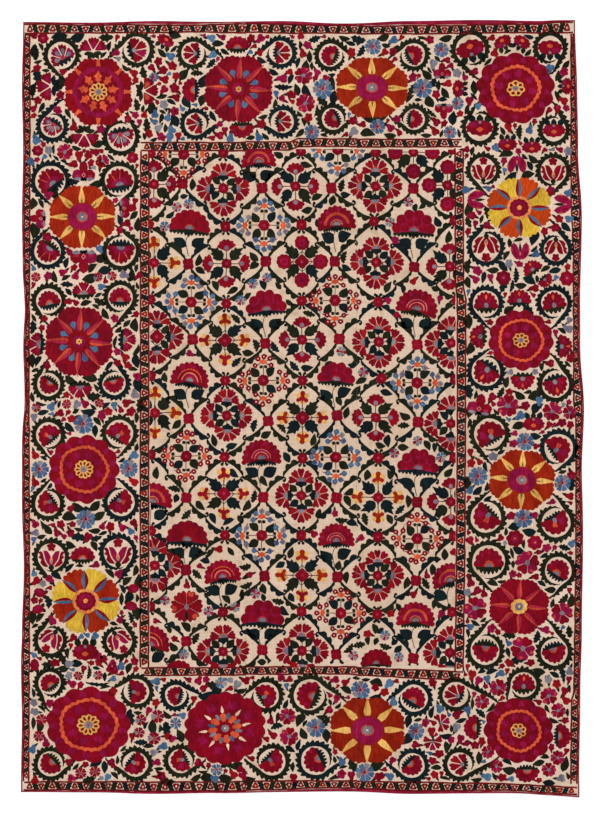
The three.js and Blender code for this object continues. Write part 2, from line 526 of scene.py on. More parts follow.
def fill(layer, silk, outline, heart=None):
    """A patch of silk inside an outline on the chart."""
    outline = np.asarray(outline, complex)
    heart = outline.mean() if heart is None else heart
    box = cut_edge["box"]
    if box is not None and not inside(outline, box).all():
        outline = clipped(outline, box)
        if outline is None:
            return
        heart = outline.mean()
    sewn.append((layer, silk, outline, None, heart, hand.uniform(*SKEIN_LIGHTNESS)))


def band(layer, silk, left, right):
    """A band of silk between two lines on the chart."""
    box = cut_edge["box"]
    if box is not None:
        kept = inside(left, box) & inside(right, box)
        left = left[kept]
        right = right[kept]
        if len(left) < 2:
            return
    sewn.append((layer, silk, left, right, None, hand.uniform(*SKEIN_LIGHTNESS)))


def heading(degrees):
    """One unit towards a heading on the chart: 0 is up the cloth and 90 is to the right."""
    return cmath.rect(1, math.radians(degrees - 90))


def heading_of(step):
    return math.degrees(math.atan2(step.real, -step.imag))


class Motif:
    """A place on the chart with a facing and a size, where a motif is drawn."""

    def __init__(self, place, facing=0, along=1.0, across=None):
        self.place = place
        self.turn = heading(facing)
        self.along = along
        self.across = along if across is None else across

    def at(self, points):
        points = np.asarray(points, complex)
        return self.place + self.turn * (points.real * self.along + 1j * points.imag * self.across)

    def fill(self, layer, silk, outline, heart=None):
        fill(layer, silk, self.at(outline), None if heart is None else complex(self.at(heart)))

    def band(self, layer, silk, sides):
        band(layer, silk, self.at(sides[0]), self.at(sides[1]))


# %% Outlines
LEAST_HALF = 0.12


def polar(reach, degrees):
    """Places at a distance and an angle from 0, where 0 degrees is the way the motif faces."""
    return np.asarray(reach) * np.exp(1j * np.radians(degrees))


def mirrored(side):
    """A whole outline from its right side, which begins and ends on the middle line."""
    side = np.array(side)
    return np.concatenate([side, side.conj()[-2:0:-1]])


def oval(along, across=None, middle=0, count=10):
    round_trip = polar(1, np.linspace(0, 360, count, endpoint=False))
    return middle + round_trip.real * along + 1j * round_trip.imag * (along if across is None else across)


def scalloped(reach, lobes, depth, turn=0, middle=0, steps=5, across=None):
    """A round outline with rounded lobes and sharp notches."""
    degrees = np.linspace(0, 360, lobes * steps, endpoint=False) + turn
    swell = 1 - depth * (1 - np.abs(np.cos(np.radians(lobes * (degrees - turn) / 2))))
    rim = polar(reach * swell, degrees)
    return middle + rim.real + 1j * rim.imag * (1 if across is None else across / reach)


def half_round(reach, scallops, depth=0.1, squat=1.0, spread=180):
    """Half a flower with a scalloped rim, its root at 0."""
    shares = np.linspace(0, 1, scallops * 6 + 1)
    swell = 1 - depth * (1 - np.abs(np.sin(math.pi * scallops * shares)))
    rim = polar(reach * swell, (shares - 0.5) * spread)
    return np.append(rim.real * squat + 1j * rim.imag, [0])


def wedge(inner, outer, degrees, half_inner, half_outer, scallops=1, depth=0.06):
    """One petal of a fan, between two distances from its root."""
    shares = np.linspace(-1, 1, scallops * 4 + 1)
    swell = 1 - depth * (1 - np.abs(np.sin(math.pi * scallops * (shares + 1) / 2)))
    rim = polar(outer * swell * (1 - 0.09 * shares**4), degrees + shares * half_outer)
    return np.append(rim, polar(inner, [degrees + half_inner, degrees - half_inner]))


def blade(root, tip, half_width, fullest=0.45, bend=0.0, teeth=0, bite=0.4, steps=7):
    """Both sides of a leaf or a long petal."""
    count = teeth * 2 + 2 if teeth else steps
    shares = np.linspace(0, 1, count)
    spine = root + (tip - root) * (shares + 1j * bend * np.sin(math.pi * shares))
    power = math.log(0.5) / math.log(fullest)
    widths = half_width * np.sin(math.pi * shares**power)
    if teeth:
        widths = widths * np.where(np.arange(count) % 2, 1.1, 1 - bite)
    side = 1j * (tip - root) / abs(tip - root)
    widths = widths + LEAST_HALF
    return spine - side * widths, spine + side * widths


def bow(start, out, back, end, count):
    """A smooth line that leaves one place and arrives at another, bent by two handles."""
    t = np.linspace(0, 1, count)
    return start * (1 - t) ** 3 + 3 * out * t * (1 - t) ** 2 + 3 * back * t**2 * (1 - t) + end * t**3


def either_side(path, left, right=None):
    """The two sides of a band that follows a line."""
    step = np.gradient(path)
    side = 1j * step / np.abs(step)
    return path - side * left, path + side * (left if right is None else right)


def ring(inner, outer, degrees=360, start=0, count=28):
    arc = polar(1, start + np.linspace(0, degrees, count))
    return arc * inner, arc * outer


# %% [markdown]
# ## Small flowers
# The same few flowers fill every gap: buds, pinwheels, blue stars, round blossoms and fans. Each is drawn by
# one function from its size, and a little is left to the hand, so that no two come out quite alike.

# %% Calyx, fans and cups
def calyx(motif, half_width, thick, lobes=5, back=0.0, droop=0.0):
    """The dark lobed leaf under a fan."""
    places = np.linspace(-1, 1, 4 * lobes + 1)
    swell = 0.55 + 0.45 * np.abs(np.sin(lobes * math.pi * (places + 1) / 2))
    depth = thick * (1 - 0.6 * places**4) * swell + 0.2
    front = 0.3 - back + (0.3 * thick - droop) * places**2 + 1j * places * half_width
    motif.band(LEAF, hand.choice(("green", "teal")), (front - depth, front))


def sepals(motif, reach, turns=(-82, -44, 0, 44, 82)):
    """Pointed dark leaflets behind a flower, the outermost ones longest."""
    silk = hand.choice(("green", "teal"))
    for turn in turns:
        length = reach * (0.42 + 0.3 * abs(turn) / 90) * hand.uniform(0.92, 1.08)
        motif.band(LEAF, silk, blade(polar(0.04 * reach, 180 + turn) - 0.8, polar(length, 180 + turn) - 1.2,
                                     0.15 * reach, 0.55, 0.0, steps=6))


def fan(motif, reach, petals, spread, reds, gap, scallops, blush, heart, cup=0.84):
    """A flower seen from the side: a fan of petals over a dark calyx, or over leaflets where cup is 0."""
    step = spread / petals
    for i in range(petals):
        degrees = (i - (petals - 1) / 2) * step + hand.uniform(-1.5, 1.5)
        half_outer = step / 2 - math.degrees(gap / 2 / reach)
        size = reach * hand.uniform(0.95, 1.04)
        outline = wedge(0.16 * reach, size, degrees, step * 0.28, half_outer, scallops, 0.11)
        motif.fill(PETAL, reds[i % len(reds)], outline)
        if blush:
            inner = wedge(0.24 * reach, 0.72 * reach, degrees, step * 0.16, half_outer * 0.62, 1, 0.1)
            motif.fill(MARK, blush if i != 1 or blush != "ember" else "crimson", inner)
    if heart:
        motif.fill(HEART, heart, scalloped(0.17 * reach, 5, 0.25, middle=0.1 * reach))
    if cup:
        calyx(motif, reach * cup, reach * cup * 0.5)
    else:
        sepals(motif, reach)


def bubbly(motif, reach):
    """A fan of many small scallops in rows, with an orange arc and a grey heart."""
    motif.fill(PETAL, "crimson", half_round(reach, 8, 0.1), 0.4 * reach)
    for row, silk in enumerate(("magenta", "crimson")):
        distance = reach * (0.76 - 0.26 * row)
        count = 5 - row
        for i in range(count):
            degrees = (i - (count - 1) / 2) * 165 / count
            scallop = oval(reach * 0.12, reach * 0.09, count=7) * polar(1, degrees)
            motif.fill(MARK, silk, polar(distance, degrees) + scallop)
    motif.fill(HEART, "ember", half_round(reach * 0.36, 5, 0.15), 0.1 * reach)
    motif.fill(TOP, "slate", half_round(reach * 0.22, 3, 0.1), 0.06 * reach)
    calyx(motif, reach * 0.88, reach * 0.42, 7)


def poppy(motif, half_width):
    """A cloud of scallops over dark sepals, with an orange spot."""
    deep = half_width * 0.62
    motif.fill(PETAL, "crimson", scalloped(deep, 11, 0.16, middle=deep * 0.8, across=half_width))
    side = hand.choice((-1, 1))
    shade = oval(deep * 0.35, half_width * 0.3, deep * 0.45 + 1j * side * half_width * 0.45, 8)
    motif.fill(MARK, "magenta", shade)
    motif.fill(MARK, "orange", scalloped(deep * 0.3, 4, 0.2, middle=deep, across=half_width * 0.24))
    motif.fill(MARK, "slate", oval(deep * 0.22, deep * 0.2, deep * 0.12, 7))
    for tilt in (-1, 0, 1):
        root = deep * 0.25 + 1j * tilt * half_width * 0.4
        tip = root - deep * 1.15 + 1j * tilt * half_width * 0.3
        motif.band(LEAF, hand.choice(("teal", "green")), blade(root, tip, half_width * 0.24, 0.5))


BELL = mirrored([1.02, 0.88 + 0.17j, 0.96 + 0.3j, 0.72 + 0.62j, 0.32 + 0.9j, -0.15 + 1.0j, -0.5 + 0.95j,
                 -0.86 + 0.68j, -0.62 + 0.36j, -0.2 + 0.18j, 0.24])


def bell(motif, size):
    """A closed tulip: one magenta bell with orange sides, parted at its root by a dark pistil."""
    motif.fill(PETAL, "magenta", size * BELL, 0.5 * size)
    for side in (-1, 1):
        motif.fill(MARK, "ember", oval(0.3 * size, 0.1 * size, (-0.12 + 0.9j * side) * size, 8))
        motif.fill(MARK, "crimson", oval(0.36 * size, 0.13 * size, (0.36 + 0.48j * side) * size, 8))
    motif.fill(MARK, "rose", oval(0.16 * size, 0.08 * size, 0.36 * size, 6))
    motif.band(LEAF, "green", blade(-0.95 * size, 0.16 * size, 0.15 * size, 0.6))


def iris(motif, size):
    """A pointed top petal over two round ones, slate where they meet the leaflets."""
    for side, silk in ((-1, "magenta"), (1, "crimson")):
        middle = (0.04 + 0.52j * side) * size
        motif.fill(PETAL, silk, scalloped(0.5 * size, 6, 0.12, 10, middle, across=0.47 * size))
        motif.fill(MARK, "slate", oval(0.13 * size, 0.32 * size, middle - 0.32 * size, 8))
        motif.fill(MARK, "rose_red", oval(0.1 * size, 0.22 * size, middle - 0.08 * size, 7))
    motif.fill(MARK, "crimson", scalloped(0.56 * size, 8, 0.1, 0, 0.66 * size, across=0.38 * size))
    motif.fill(HEART, "rose", oval(0.24 * size, 0.17 * size, 0.02 * size, 4))
    motif.fill(TOP, "crimson", oval(0.15 * size, 0.1 * size, 0.02 * size, 4))
    sepals(motif, size * 0.9, (-60, -28, 0, 28, 60))


def pansy(motif, reach):
    """Five lobes in two reds round a small grey heart, some with a pale tip."""
    for i in range(5):
        degrees = 72 * i + hand.uniform(-3, 3)
        lobe = wedge(0.12 * reach, reach, degrees, 35, 35.4, 2, 0.13)
        motif.fill(PETAL, "crimson" if i % 2 else "magenta", lobe)
        if i % 2 == 0:
            motif.fill(MARK, "ember", wedge(0.66 * reach, 0.9 * reach, degrees + 10, 8, 12, 1, 0.15))
    motif.fill(HEART, "slate", scalloped(0.26 * reach, 5, 0.15, across=0.2 * reach))


# The two sides of each petal of a tulip, from its root to its tip.
TULIP_OUTER = np.array([
    [-0.7 + 0.2j, -0.74 + 0.28j], [-0.54 + 0.32j, -0.68 + 0.6j], [-0.36 + 0.45j, -0.44 + 0.84j],
    [-0.2 + 0.53j, -0.2 + 0.76j], [-0.06 + 0.58j, -0.04 + 0.99j], [0.08 + 0.62j, 0.1 + 0.84j],
    [0.24 + 0.66j, 0.34 + 1.0j], [0.34 + 0.72j, 0.42 + 0.82j],
]).T
TULIP_INNER = np.array([
    [-0.6 + 0.03j, -0.62 + 0.16j], [-0.38 + 0.03j, -0.4 + 0.35j], [-0.14 + 0.04j, -0.16 + 0.48j],
    [0.04 + 0.07j, 0.06 + 0.54j], [0.22 + 0.16j, 0.24 + 0.6j], [0.42 + 0.34j, 0.46 + 0.64j],
]).T


def tulip(motif, size, inner_silk="magenta"):
    """Two serrated petals outside, two smooth ones within, a bud on top and a striped heart."""
    for side in (-1, 1):
        for petal, silk in ((TULIP_OUTER, "crimson"), (TULIP_INNER, inner_silk)):
            left, right = size * (petal if side > 0 else petal.conj())
            motif.band(PETAL, silk, (left, right))
    motif.fill(PETAL, "crimson", scalloped(0.36 * size, 5, 0.3, 0, 0.72 * size, 6, 0.36 * size))
    motif.fill(MARK, "apricot", oval(0.22 * size, 0.13 * size, -0.28 * size))
    motif.fill(HEART, "slate", oval(0.13 * size, 0.09 * size, -0.34 * size, 8))
    motif.band(LEAF, "green", blade(-1.02 * size, -0.5 * size, 0.2 * size, 0.5))


def kidney(motif, size):
    """A half-round flower drawn in at its root, with an orange and a magenta side and a grey eye."""
    side = hand.choice((-1, 1))
    motif.fill(PETAL, "crimson", half_round(size, 8, 0.1, 0.98, 206), 0.35 * size)
    motif.fill(MARK, "magenta", wedge(0.3 * size, 0.8 * size, 52 * side, 22, 20, 2, 0.12))
    motif.fill(MARK, "ember", wedge(0.16 * size, 0.56 * size, -22 * side, 26, 24, 2, 0.14))
    motif.fill(HEART, "slate", oval(0.18 * size, 0.16 * size, 0.1 * size, 8))
    calyx(motif, 0.7 * size, 0.34 * size, 6, 0.0, 0.18 * size)


def lined_fan(motif, reach):
    """A round fan in one red, with thin pale lines and a grey root."""
    motif.fill(PETAL, "crimson", half_round(reach, 9, 0.12, 1.0, 190), 0.4 * reach)
    motif.fill(MARK, "magenta", half_round(reach * 0.62, 5, 0.1, 0.8, 170), 0.25 * reach)
    for degrees in (-34, 12):
        line = blade(polar(0.3 * reach, degrees), polar(0.93 * reach, degrees), 0.4, 0.5, steps=4)
        motif.band(HEART, "orange", line)
    motif.fill(HEART, "slate", half_round(reach * 0.3, 3, 0.12, 0.8), 0.1 * reach)
    calyx(motif, reach * 0.92, reach * 0.46, 7)


def spiked_fan(motif, reach):
    """A round fan with magenta shading, an orange spike and a grey heart."""
    motif.fill(PETAL, "crimson", half_round(reach, 9, 0.12, 1.05, 190), 0.4 * reach)
    for degrees in (-62, -31, 31, 62):
        motif.fill(MARK, "magenta", wedge(0.34 * reach, 0.72 * reach, degrees, 7, 8, 1, 0.1))
    motif.band(MARK, "orange", blade(0.45 * reach, 0.86 * reach, 0.1 * reach, 0.6))
    motif.fill(HEART, "slate", oval(0.18 * reach, 0.2 * reach, 0.14 * reach, 8))
    calyx(motif, reach * 0.88, reach * 0.42)


def big_bud(motif):
    """A broad bud in two reds over dark leaflets."""
    motif.fill(PETAL, "crimson", scalloped(6.2, 8, 0.07, across=4.7))
    motif.fill(MARK, "magenta", oval(3.4, 2.4, 1 + 1.2j, 8))
    for side in (-1, 1):
        motif.band(LEAF, "green", blade(-3, -7.4 + 4.4j * side, 2.0, 0.55, steps=6))


# %% Round flowers
def blue_star(place, reach):
    """A blue flower of eight petals with thin red rays."""
    motif = Motif(place, hand.uniform(0, 45))
    for i in range(8):
        petal = wedge(0.2 * reach, reach * hand.uniform(0.97, 1.04), 45 * i, 19, 21, 2, 0.08)
        motif.fill(PETAL, "slate" if i % 5 == 0 else "blue", petal)
    for i in range(4):
        motif.band(MARK, "rose", blade(0, polar(0.62 * reach, 45 * i + 22), 0.35, 0.5, steps=4))
        motif.band(MARK, "crimson", blade(0, -polar(0.62 * reach, 45 * i + 22), 0.45, 0.5, steps=4))
    motif.fill(HEART, "crimson", oval(0.17 * reach, count=7))


def round_blossom(place, reach):
    """A round red flower with a paler middle."""
    motif = Motif(place, hand.uniform(0, 60))
    motif.fill(PETAL, "crimson", scalloped(reach, 7, 0.2))
    motif.fill(MARK, "magenta", scalloped(reach * 0.5, 5, 0.2, 20))
    motif.fill(HEART, "orange", oval(reach * 0.17, count=6))


IN_REDS = (("crimson", "magenta", "madder"), ("crimson", "magenta", "crimson", "crimson", "slate", "magenta"))
IN_BLUES = (("slate", "magenta"), ("slate", "crimson", "slate"),
            ("blue", "slate", "slate", "magenta", "slate", "blue"))
IN_SKY = (("blue",), ("blue", "slate", "blue"))


def pinwheel(place, reach, choices, half_angle=26):
    """A small flower whose petals change colour from one to the next."""
    motif = Motif(place, hand.uniform(0, 60))
    tones = hand.choice(choices)
    for i in range(6):
        motif.fill(PETAL, tones[i % len(tones)], wedge(0.12 * reach, reach, 60 * i, 22, half_angle, 2, 0.15))
    motif.fill(HEART, hand.choice(("crimson", "ember")), oval(reach * 0.2, count=6))


def bud(place, silk, reach, facing=None):
    """A bud with a notched top and a dark sepal."""
    motif = Motif(place, hand.uniform(0, 360) if facing is None else facing)
    side = hand.choice((-0.5j, 0.5j))
    motif.band(LEAF, "green", blade(-0.4 * reach, (side - 2.0) * reach, 0.34 * reach, 0.4, steps=5))
    if silk == "blue" and hand.random() < 0.3:
        silk = "slate"
    tall = reach * hand.uniform(1.05, 1.25)
    if silk == "blue" or hand.random() < 0.6:
        motif.fill(PETAL, silk, scalloped(tall * 1.08, 3, 0.36, 60, steps=6, across=reach * 0.98))
    else:
        motif.fill(PETAL, silk, scalloped(tall * 1.05, 5, 0.26, 36, steps=6, across=reach * 1.05))
    if silk in ("crimson", "magenta") and hand.random() < 0.55:
        other = "magenta" if silk == "crimson" else "crimson"
        motif.fill(MARK, other, oval(reach * 0.5, reach * 0.4, reach * 0.3, 7))


def leaf(place, facing, length, half_width, teeth=0, silk=None):
    """A dark leaf that lies across its place, often with an edge of teeth."""
    motif = Motif(place, facing)
    silk = silk or hand.choice(DARK_SILKS)
    sides = blade(-length / 2, length / 2, half_width, hand.uniform(0.38, 0.5),
                  hand.uniform(-0.16, 0.16), teeth, 0.35)
    motif.band(LEAF, silk, sides)


print("small flowers are ready")

# %% [markdown]
# ## The rosettes
# Sixteen great flowers, each as wide as two hands, carry the border. Each is a scalloped disc with rings,
# rays or petals laid over it, and there are seven kinds. They are drawn as if 35 units wide and then
# stretched to the width and height of each one, because none is a true circle.

# %% Parts of rosettes
ROSETTE_REACH = 35


def rim(motif, silk, lobes, depth, small_lobes=0, small_depth=0.0, turn=0.0):
    """The disc under a rosette, with lobes and smaller scallops on them."""
    degrees = np.arange(0, 360, 1.25)
    swell = 1 - depth * (1 - np.abs(np.cos(np.radians(lobes * (degrees - turn) / 2))))
    if small_lobes:
        swell = swell - small_depth * (1 - np.abs(np.cos(np.radians(small_lobes * (degrees - turn) / 2))))
    motif.fill(PETAL, silk, polar(ROSETTE_REACH * swell, degrees), 0)


def looped_eye(motif, reach, petals):
    """A ring of small looped petals round a grey eye."""
    motif.fill(HEART, "straw", scalloped(reach, petals, 0.15, steps=6))
    half_width = math.pi * 0.66 * reach / petals - 0.75
    for i in range(petals):
        degrees = 360 * i / petals
        loop = blade(polar(0.36 * reach, degrees), polar(0.86 * reach, degrees), half_width, 0.6)
        motif.band(TOP, "wine", loop)
    motif.fill(TOP, "slate", oval(0.35 * reach, count=12))
    motif.fill(TOP + 1, "rose_red", oval(0.12 * reach, count=6))


def two_toned(motif, layer, silks_of_ray, sides):
    """A ray whose two halves are sewn in different silks."""
    spine = (sides[0] + sides[1]) / 2
    motif.band(layer, silks_of_ray[0], (sides[0], spine))
    motif.band(layer, silks_of_ray[1], (spine, sides[1]))


def blots(motif, count, distance, along, across, turn):
    """A ring of magenta blots with three lobes."""
    for i in range(count):
        degrees = turn + 360 * i / count
        blot = scalloped(along * hand.uniform(0.85, 1.15), 3, 0.3, steps=4, across=across)
        motif.fill(MARK, "magenta", polar(1, degrees) * (blot + distance))


MAPLE = [-0.7j, 1.6 - 3.3j, 3.4 - 2.0j, 5.6 - 4.4j, 7.2 - 1.8j, 11.2, 7.2 + 1.8j, 5.6 + 4.4j, 3.4 + 2.0j,
         1.6 + 3.3j, 0.7j]
SUN_RAY = [-2.6j, 4.2 - 3.5j, 9.5 - 2.5j, 19.2, 9.5 + 2.5j, 4.2 + 3.5j, 2.6j]
SUN_SLIT = [-0.8j, 6.4, 0.8j]


# %% Seven kinds of rosette
def leafed_rosette(motif):
    rim(motif, "wine", 8, 0.12, 40, 0.045, 22.5)
    motif.band(MARK, "magenta", ring(19.8, 24.6, count=40))
    motif.fill(MARK, "crimson", oval(19.7, count=40))
    for i in range(8):
        motif.fill(MARK, "orange", wedge(25, 33, 45 * i, 5.4, 3.8, 1, 0.1))
    for i in range(9):
        motif.fill(HEART, "orange", polar(1, 40 * i) * (np.array(MAPLE, complex) + 9.8))
    looped_eye(motif, 9.4, 10)


def spiked_rosette(motif, drops=True):
    """A red disc with eight rays of two silks, and blue drops between them or a yellow middle."""
    rim(motif, "crimson", 8, 0.085, 40, 0.042, 22.5)
    for i in range(8):
        degrees = 45 * i + hand.uniform(-2, 2)
        reach = 34 + hand.uniform(-0.7, 0.5)
        ray = blade(polar(9, degrees), polar(reach, degrees), 2.9, 0.26, steps=8)
        two_toned(motif, MARK, ("rose_red", "ember"), ray)
    if drops:
        for i in range(8):
            motif.band(MARK, "blue", blade(polar(10.5, 45 * i + 22.5), polar(20.5, 45 * i + 22.5), 3.0, 0.7))
        motif.fill(HEART, "wine", oval(10.6, count=18))
    else:
        motif.fill(HEART, "straw", scalloped(9.4, 10, 0.1))


def star_middle(motif):
    """A small yellow star, sewn on a red middle."""
    motif.fill(TOP, "magenta", scalloped(6.6, 10, 0.06))
    motif.fill(TOP + 1, "straw", scalloped(3.4, 6, 0.35))
    motif.fill(TOP + 2, "wine", oval(1.1, count=6))


def grey_middle(motif):
    motif.band(TOP, "slate", ring(4.2, 1.2, count=15))
    motif.fill(TOP, "cream", oval(1.2, count=6))


def rayed_rosette(motif, slit=True, silk="rust"):
    rim(motif, silk, 8, 0.085, 40, 0.04, 22.5)
    for i in range(8):
        turned = polar(1, 45 * i + hand.uniform(-2, 2))
        motif.fill(MARK, "straw", turned * (np.array(SUN_RAY) + 15), complex(turned * 22))
        if slit:
            motif.fill(HEART, "stem", turned * (np.array(SUN_SLIT) + 15.4), complex(turned * 17))
    motif.fill(MARK, "magenta", scalloped(14.4, 16, 0.05))
    motif.band(HEART, "orange", ring(5.7, 4.6, count=17))
    motif.band(HEART, "slate", ring(4.5, 1.3, count=17))
    motif.fill(HEART, "cream", oval(1.2, count=6))


def ringed_rosette(motif, loops=8, ring_reach=21.2, eye_reach=9.0):
    lobes = 13
    rim(motif, "crimson", lobes, 0.085)
    blots(motif, lobes, 28.4, 4.0, 3.2, 180 / lobes)
    degrees = np.linspace(0, 360, 105)
    waver = 0.45 * np.sin(np.radians(degrees * 26)) + 0.5 * np.sin(np.radians(degrees * 5 + 40))
    outer = ring_reach + 3.1 + waver * 1.3
    motif.band(MARK, "orange", (polar(ring_reach + waver, degrees), polar(outer, degrees)))
    blots(motif, 8, 15.2, 4.6, 3.8, 10)
    looped_eye(motif, eye_reach, loops)


def petalled_rosette(motif, turn, darker):
    for i in range(8):
        silk = darker if i % 2 else "yellow"
        motif.fill(PETAL, silk, wedge(7, 35.5, turn + 45 * i, 21.5, 21.0, 4, 0.06))
    motif.band(MARK, "apricot", ring(9.0, 13.4))
    for i in range(8):
        degrees = turn + 22.5 + 45 * i + hand.uniform(-2, 2)
        tones = ("blue", "wine") if i % 2 else ("wine", "blue")
        two_toned(motif, HEART, tones, blade(polar(12.2, degrees), polar(33, degrees), 3.3, 0.45, 0.03))
    motif.fill(HEART, "crimson", scalloped(10.6, 12, 0.1))


def pale_middle(motif):
    motif.band(TOP, "magenta", ring(7.2, 4.4, count=15))
    motif.fill(TOP, "apricot", scalloped(2.8, 5, 0.3))


def blocked_rosette(motif):
    rim(motif, "crimson", 6, 0.03, 18, 0.065, 8)
    for i in range(8):
        motif.fill(MARK, "orange", wedge(6.0, 14.2, 45 * i, 14, 13.5, 1, 0.05))
        motif.fill(MARK, "slate" if i % 3 else "blue", wedge(8.6, 15.0, 45 * i + 22.5, 8.4, 7.6, 1, 0.08))
    for i in range(8):
        motif.band(MARK, "cream", blade(polar(14.4, 45 * i), polar(22.0, 45 * i), 1.3, 0.3))
        motif.fill(MARK, "magenta", wedge(19, 26.5, 45 * i + 22.5, 12, 11, 2, 0.12))
    motif.band(HEART, "wine", ring(6.6, 3.5, count=15))
    motif.band(HEART, "slate", ring(3.4, 1.2, count=15))
    motif.fill(HEART, "cream", oval(1.1, count=6))


KINDS = {
    "leafed": leafed_rosette,
    "spiked": spiked_rosette,
    "starred": lambda motif: spiked_rosette(motif, False),
    "rayed": rayed_rosette,
    "sunny": lambda motif: rayed_rosette(motif, False, "copper"),
    "ringed": ringed_rosette,
    "narrow": lambda motif: ringed_rosette(motif, 7, 19.4, 8.2),
    "looped": lambda motif: ringed_rosette(motif, 11, eye_reach=9.6),
    "blocked": blocked_rosette,
}
MIDDLES = {"petalled": pale_middle, "bright": pale_middle, "spiked": star_middle, "starred": grey_middle}

# %% The sixteen rosettes: across, down, half width, half height, kind, turn
ROSETTES = [
    (98.3, 92, 35, 35, "leafed", 0),
    (238.6, 88.8, 35, 34, "spiked", 3),
    (372, 87.4, 37, 31, "rayed", 0),
    (515.6, 88.8, 38.3, 35, "narrow", 0),
    (82.3, 216.9, 33.9, 32.1, "rayed", 0),
    (79.1, 341.5, 34.8, 35.7, "spiked", 3),
    (84, 469.3, 34.8, 33.5, "looped", 8),
    (85.8, 601, 33.7, 32, "petalled", 20),
    (519.1, 208, 31.7, 29.9, "bright", -25),
    (520.9, 340.4, 32.1, 29.7, "ringed", 12),
    (521.8, 480.3, 33.7, 30.8, "rayed", 4),
    (519.1, 606.6, 30.6, 28.3, "starred", 3),
    (88.5, 724.7, 41.5, 37.3, "looped", 4),
    (225, 727.8, 40.8, 35.5, "blocked", -9),
    (367.5, 730, 38.4, 33.5, "sunny", 0),
    (518.6, 730.7, 34.5, 31.8, "narrow", 20),
]
FULLER = 1.03 / ROSETTE_REACH


def sew_rosettes():
    for place, half_width, half_height, kind, turn in charted(ROSETTES):
        motif = Motif(place, 0, half_height * FULLER, half_width * FULLER)
        if kind in ("petalled", "bright"):
            petalled_rosette(motif, turn, "sienna" if kind == "bright" else "rust")
        else:
            motif.turn = heading(turn)
            KINDS[kind](motif)
        if kind in MIDDLES:
            MIDDLES[kind](Motif(place))

sew_rosettes()
print("after the rosettes:", len(sewn), "patches")

# %% [markdown]
# ## The scrolls
# Four dark green scrolls grow from each rosette and curl round a flower. One band makes both the stem and
# the ring: it leaves the rosette's rim, runs onto a circle and goes most of the way round it, thinning to a
# hook. Its outer side is cut into small leaning teeth.

# %% One scroll
SCROLL_SWEEP = 332
SCROLL_POINTS = 84
SCROLL_HALF = 2.0
TEETH = [0.1, 1.2, 2.0, 2.5]
ROOT_SHARE = 0.97
LEAVING_TURN = 25
RING_INSET = 3.4


def scroll(middle, reach, turn, source, half_width, half_height):
    """A scroll round a place. turn is 1 where it winds clockwise and -1 where it winds the other way."""
    leaving = heading(heading_of(middle - source) - LEAVING_TURN * turn)
    root = source + ROOT_SHARE * (leaving.real * half_width + 1j * leaving.imag * half_height)
    circle_reach = reach - RING_INSET
    away = root - middle
    share = min(1.0, circle_reach / abs(away))
    begins = heading_of(away) + turn * math.degrees(math.acos(share))
    degrees = begins + turn * np.linspace(0, SCROLL_SWEEP, SCROLL_POINTS)
    shrink = 1 - 0.13 * np.linspace(0, 1, SCROLL_POINTS) ** 4
    circle = middle + circle_reach * shrink * np.exp(1j * np.radians(degrees - 90))
    length = abs(circle[0] - root)
    onward = heading(begins + 90 * turn)
    stem_count = max(4, int(length / 1.1))
    stem = bow(root, root + leaving * length * 0.3, circle[0] - onward * length * 0.45, circle[0], stem_count)
    path = np.concatenate([stem[:-1], circle])
    shares = np.linspace(0, 1, len(path))
    swell = np.clip(0.25 + shares * 5, 0, 1) * np.clip((1.02 - shares) * 5, 0.08, 1)
    sizes = [hand.uniform(0.6, 1.3) for _ in path]
    teeth = np.array([TEETH[i % 4] * sizes[i // 4] for i in range(len(path))])
    plain = SCROLL_HALF * swell
    toothed = plain + teeth * np.clip(swell * 1.2 - 0.1, 0, 1)
    left, right = (toothed, plain) if turn > 0 else (plain, toothed)
    band(LEAF, hand.choice(DARK_SILKS), *either_side(path, left, right))


FLOWER_INSET = 5.4
FANS_IN_SCROLLS = {
    "fan": (4, 196, ("crimson", "madder", "magenta"), 0.7, 3, None, "slate"),
    "bluefan": (4, 200, ("crimson", "magenta"), 0.7, 3, "slate", "rose_red"),
    "redfan": (4, 198, ("crimson", "crimson", "madder"), 1.0, 2, None, "slate", 0.7),
}
kept_clear = []


def scroll_flower(kind, middle, reach, facing):
    """The flower inside a scroll."""
    inner = reach - FLOWER_INSET
    kept_clear.append((middle, inner))
    motif = Motif(middle - heading(facing) * inner * 0.3, facing, 1.2, 0.98)
    size = inner * 0.98
    if kind in FANS_IN_SCROLLS:
        fan(motif, size, *FANS_IN_SCROLLS[kind])
    elif kind == "kidney":
        kidney(motif, size)
    elif kind == "lined":
        lined_fan(motif, size)
    elif kind == "bubbly":
        bubbly(motif, size * 0.98)
    elif kind == "poppy":
        poppy(Motif(middle - heading(facing) * inner * 0.42, facing, 0.98, 1.06), inner)
    elif kind in ("tulip", "redtulip"):
        tulip(Motif(middle, facing, 1.04, 1.0), inner * 0.98, "magenta" if kind == "tulip" else "crimson")
    else:
        spiked_fan(motif, size)


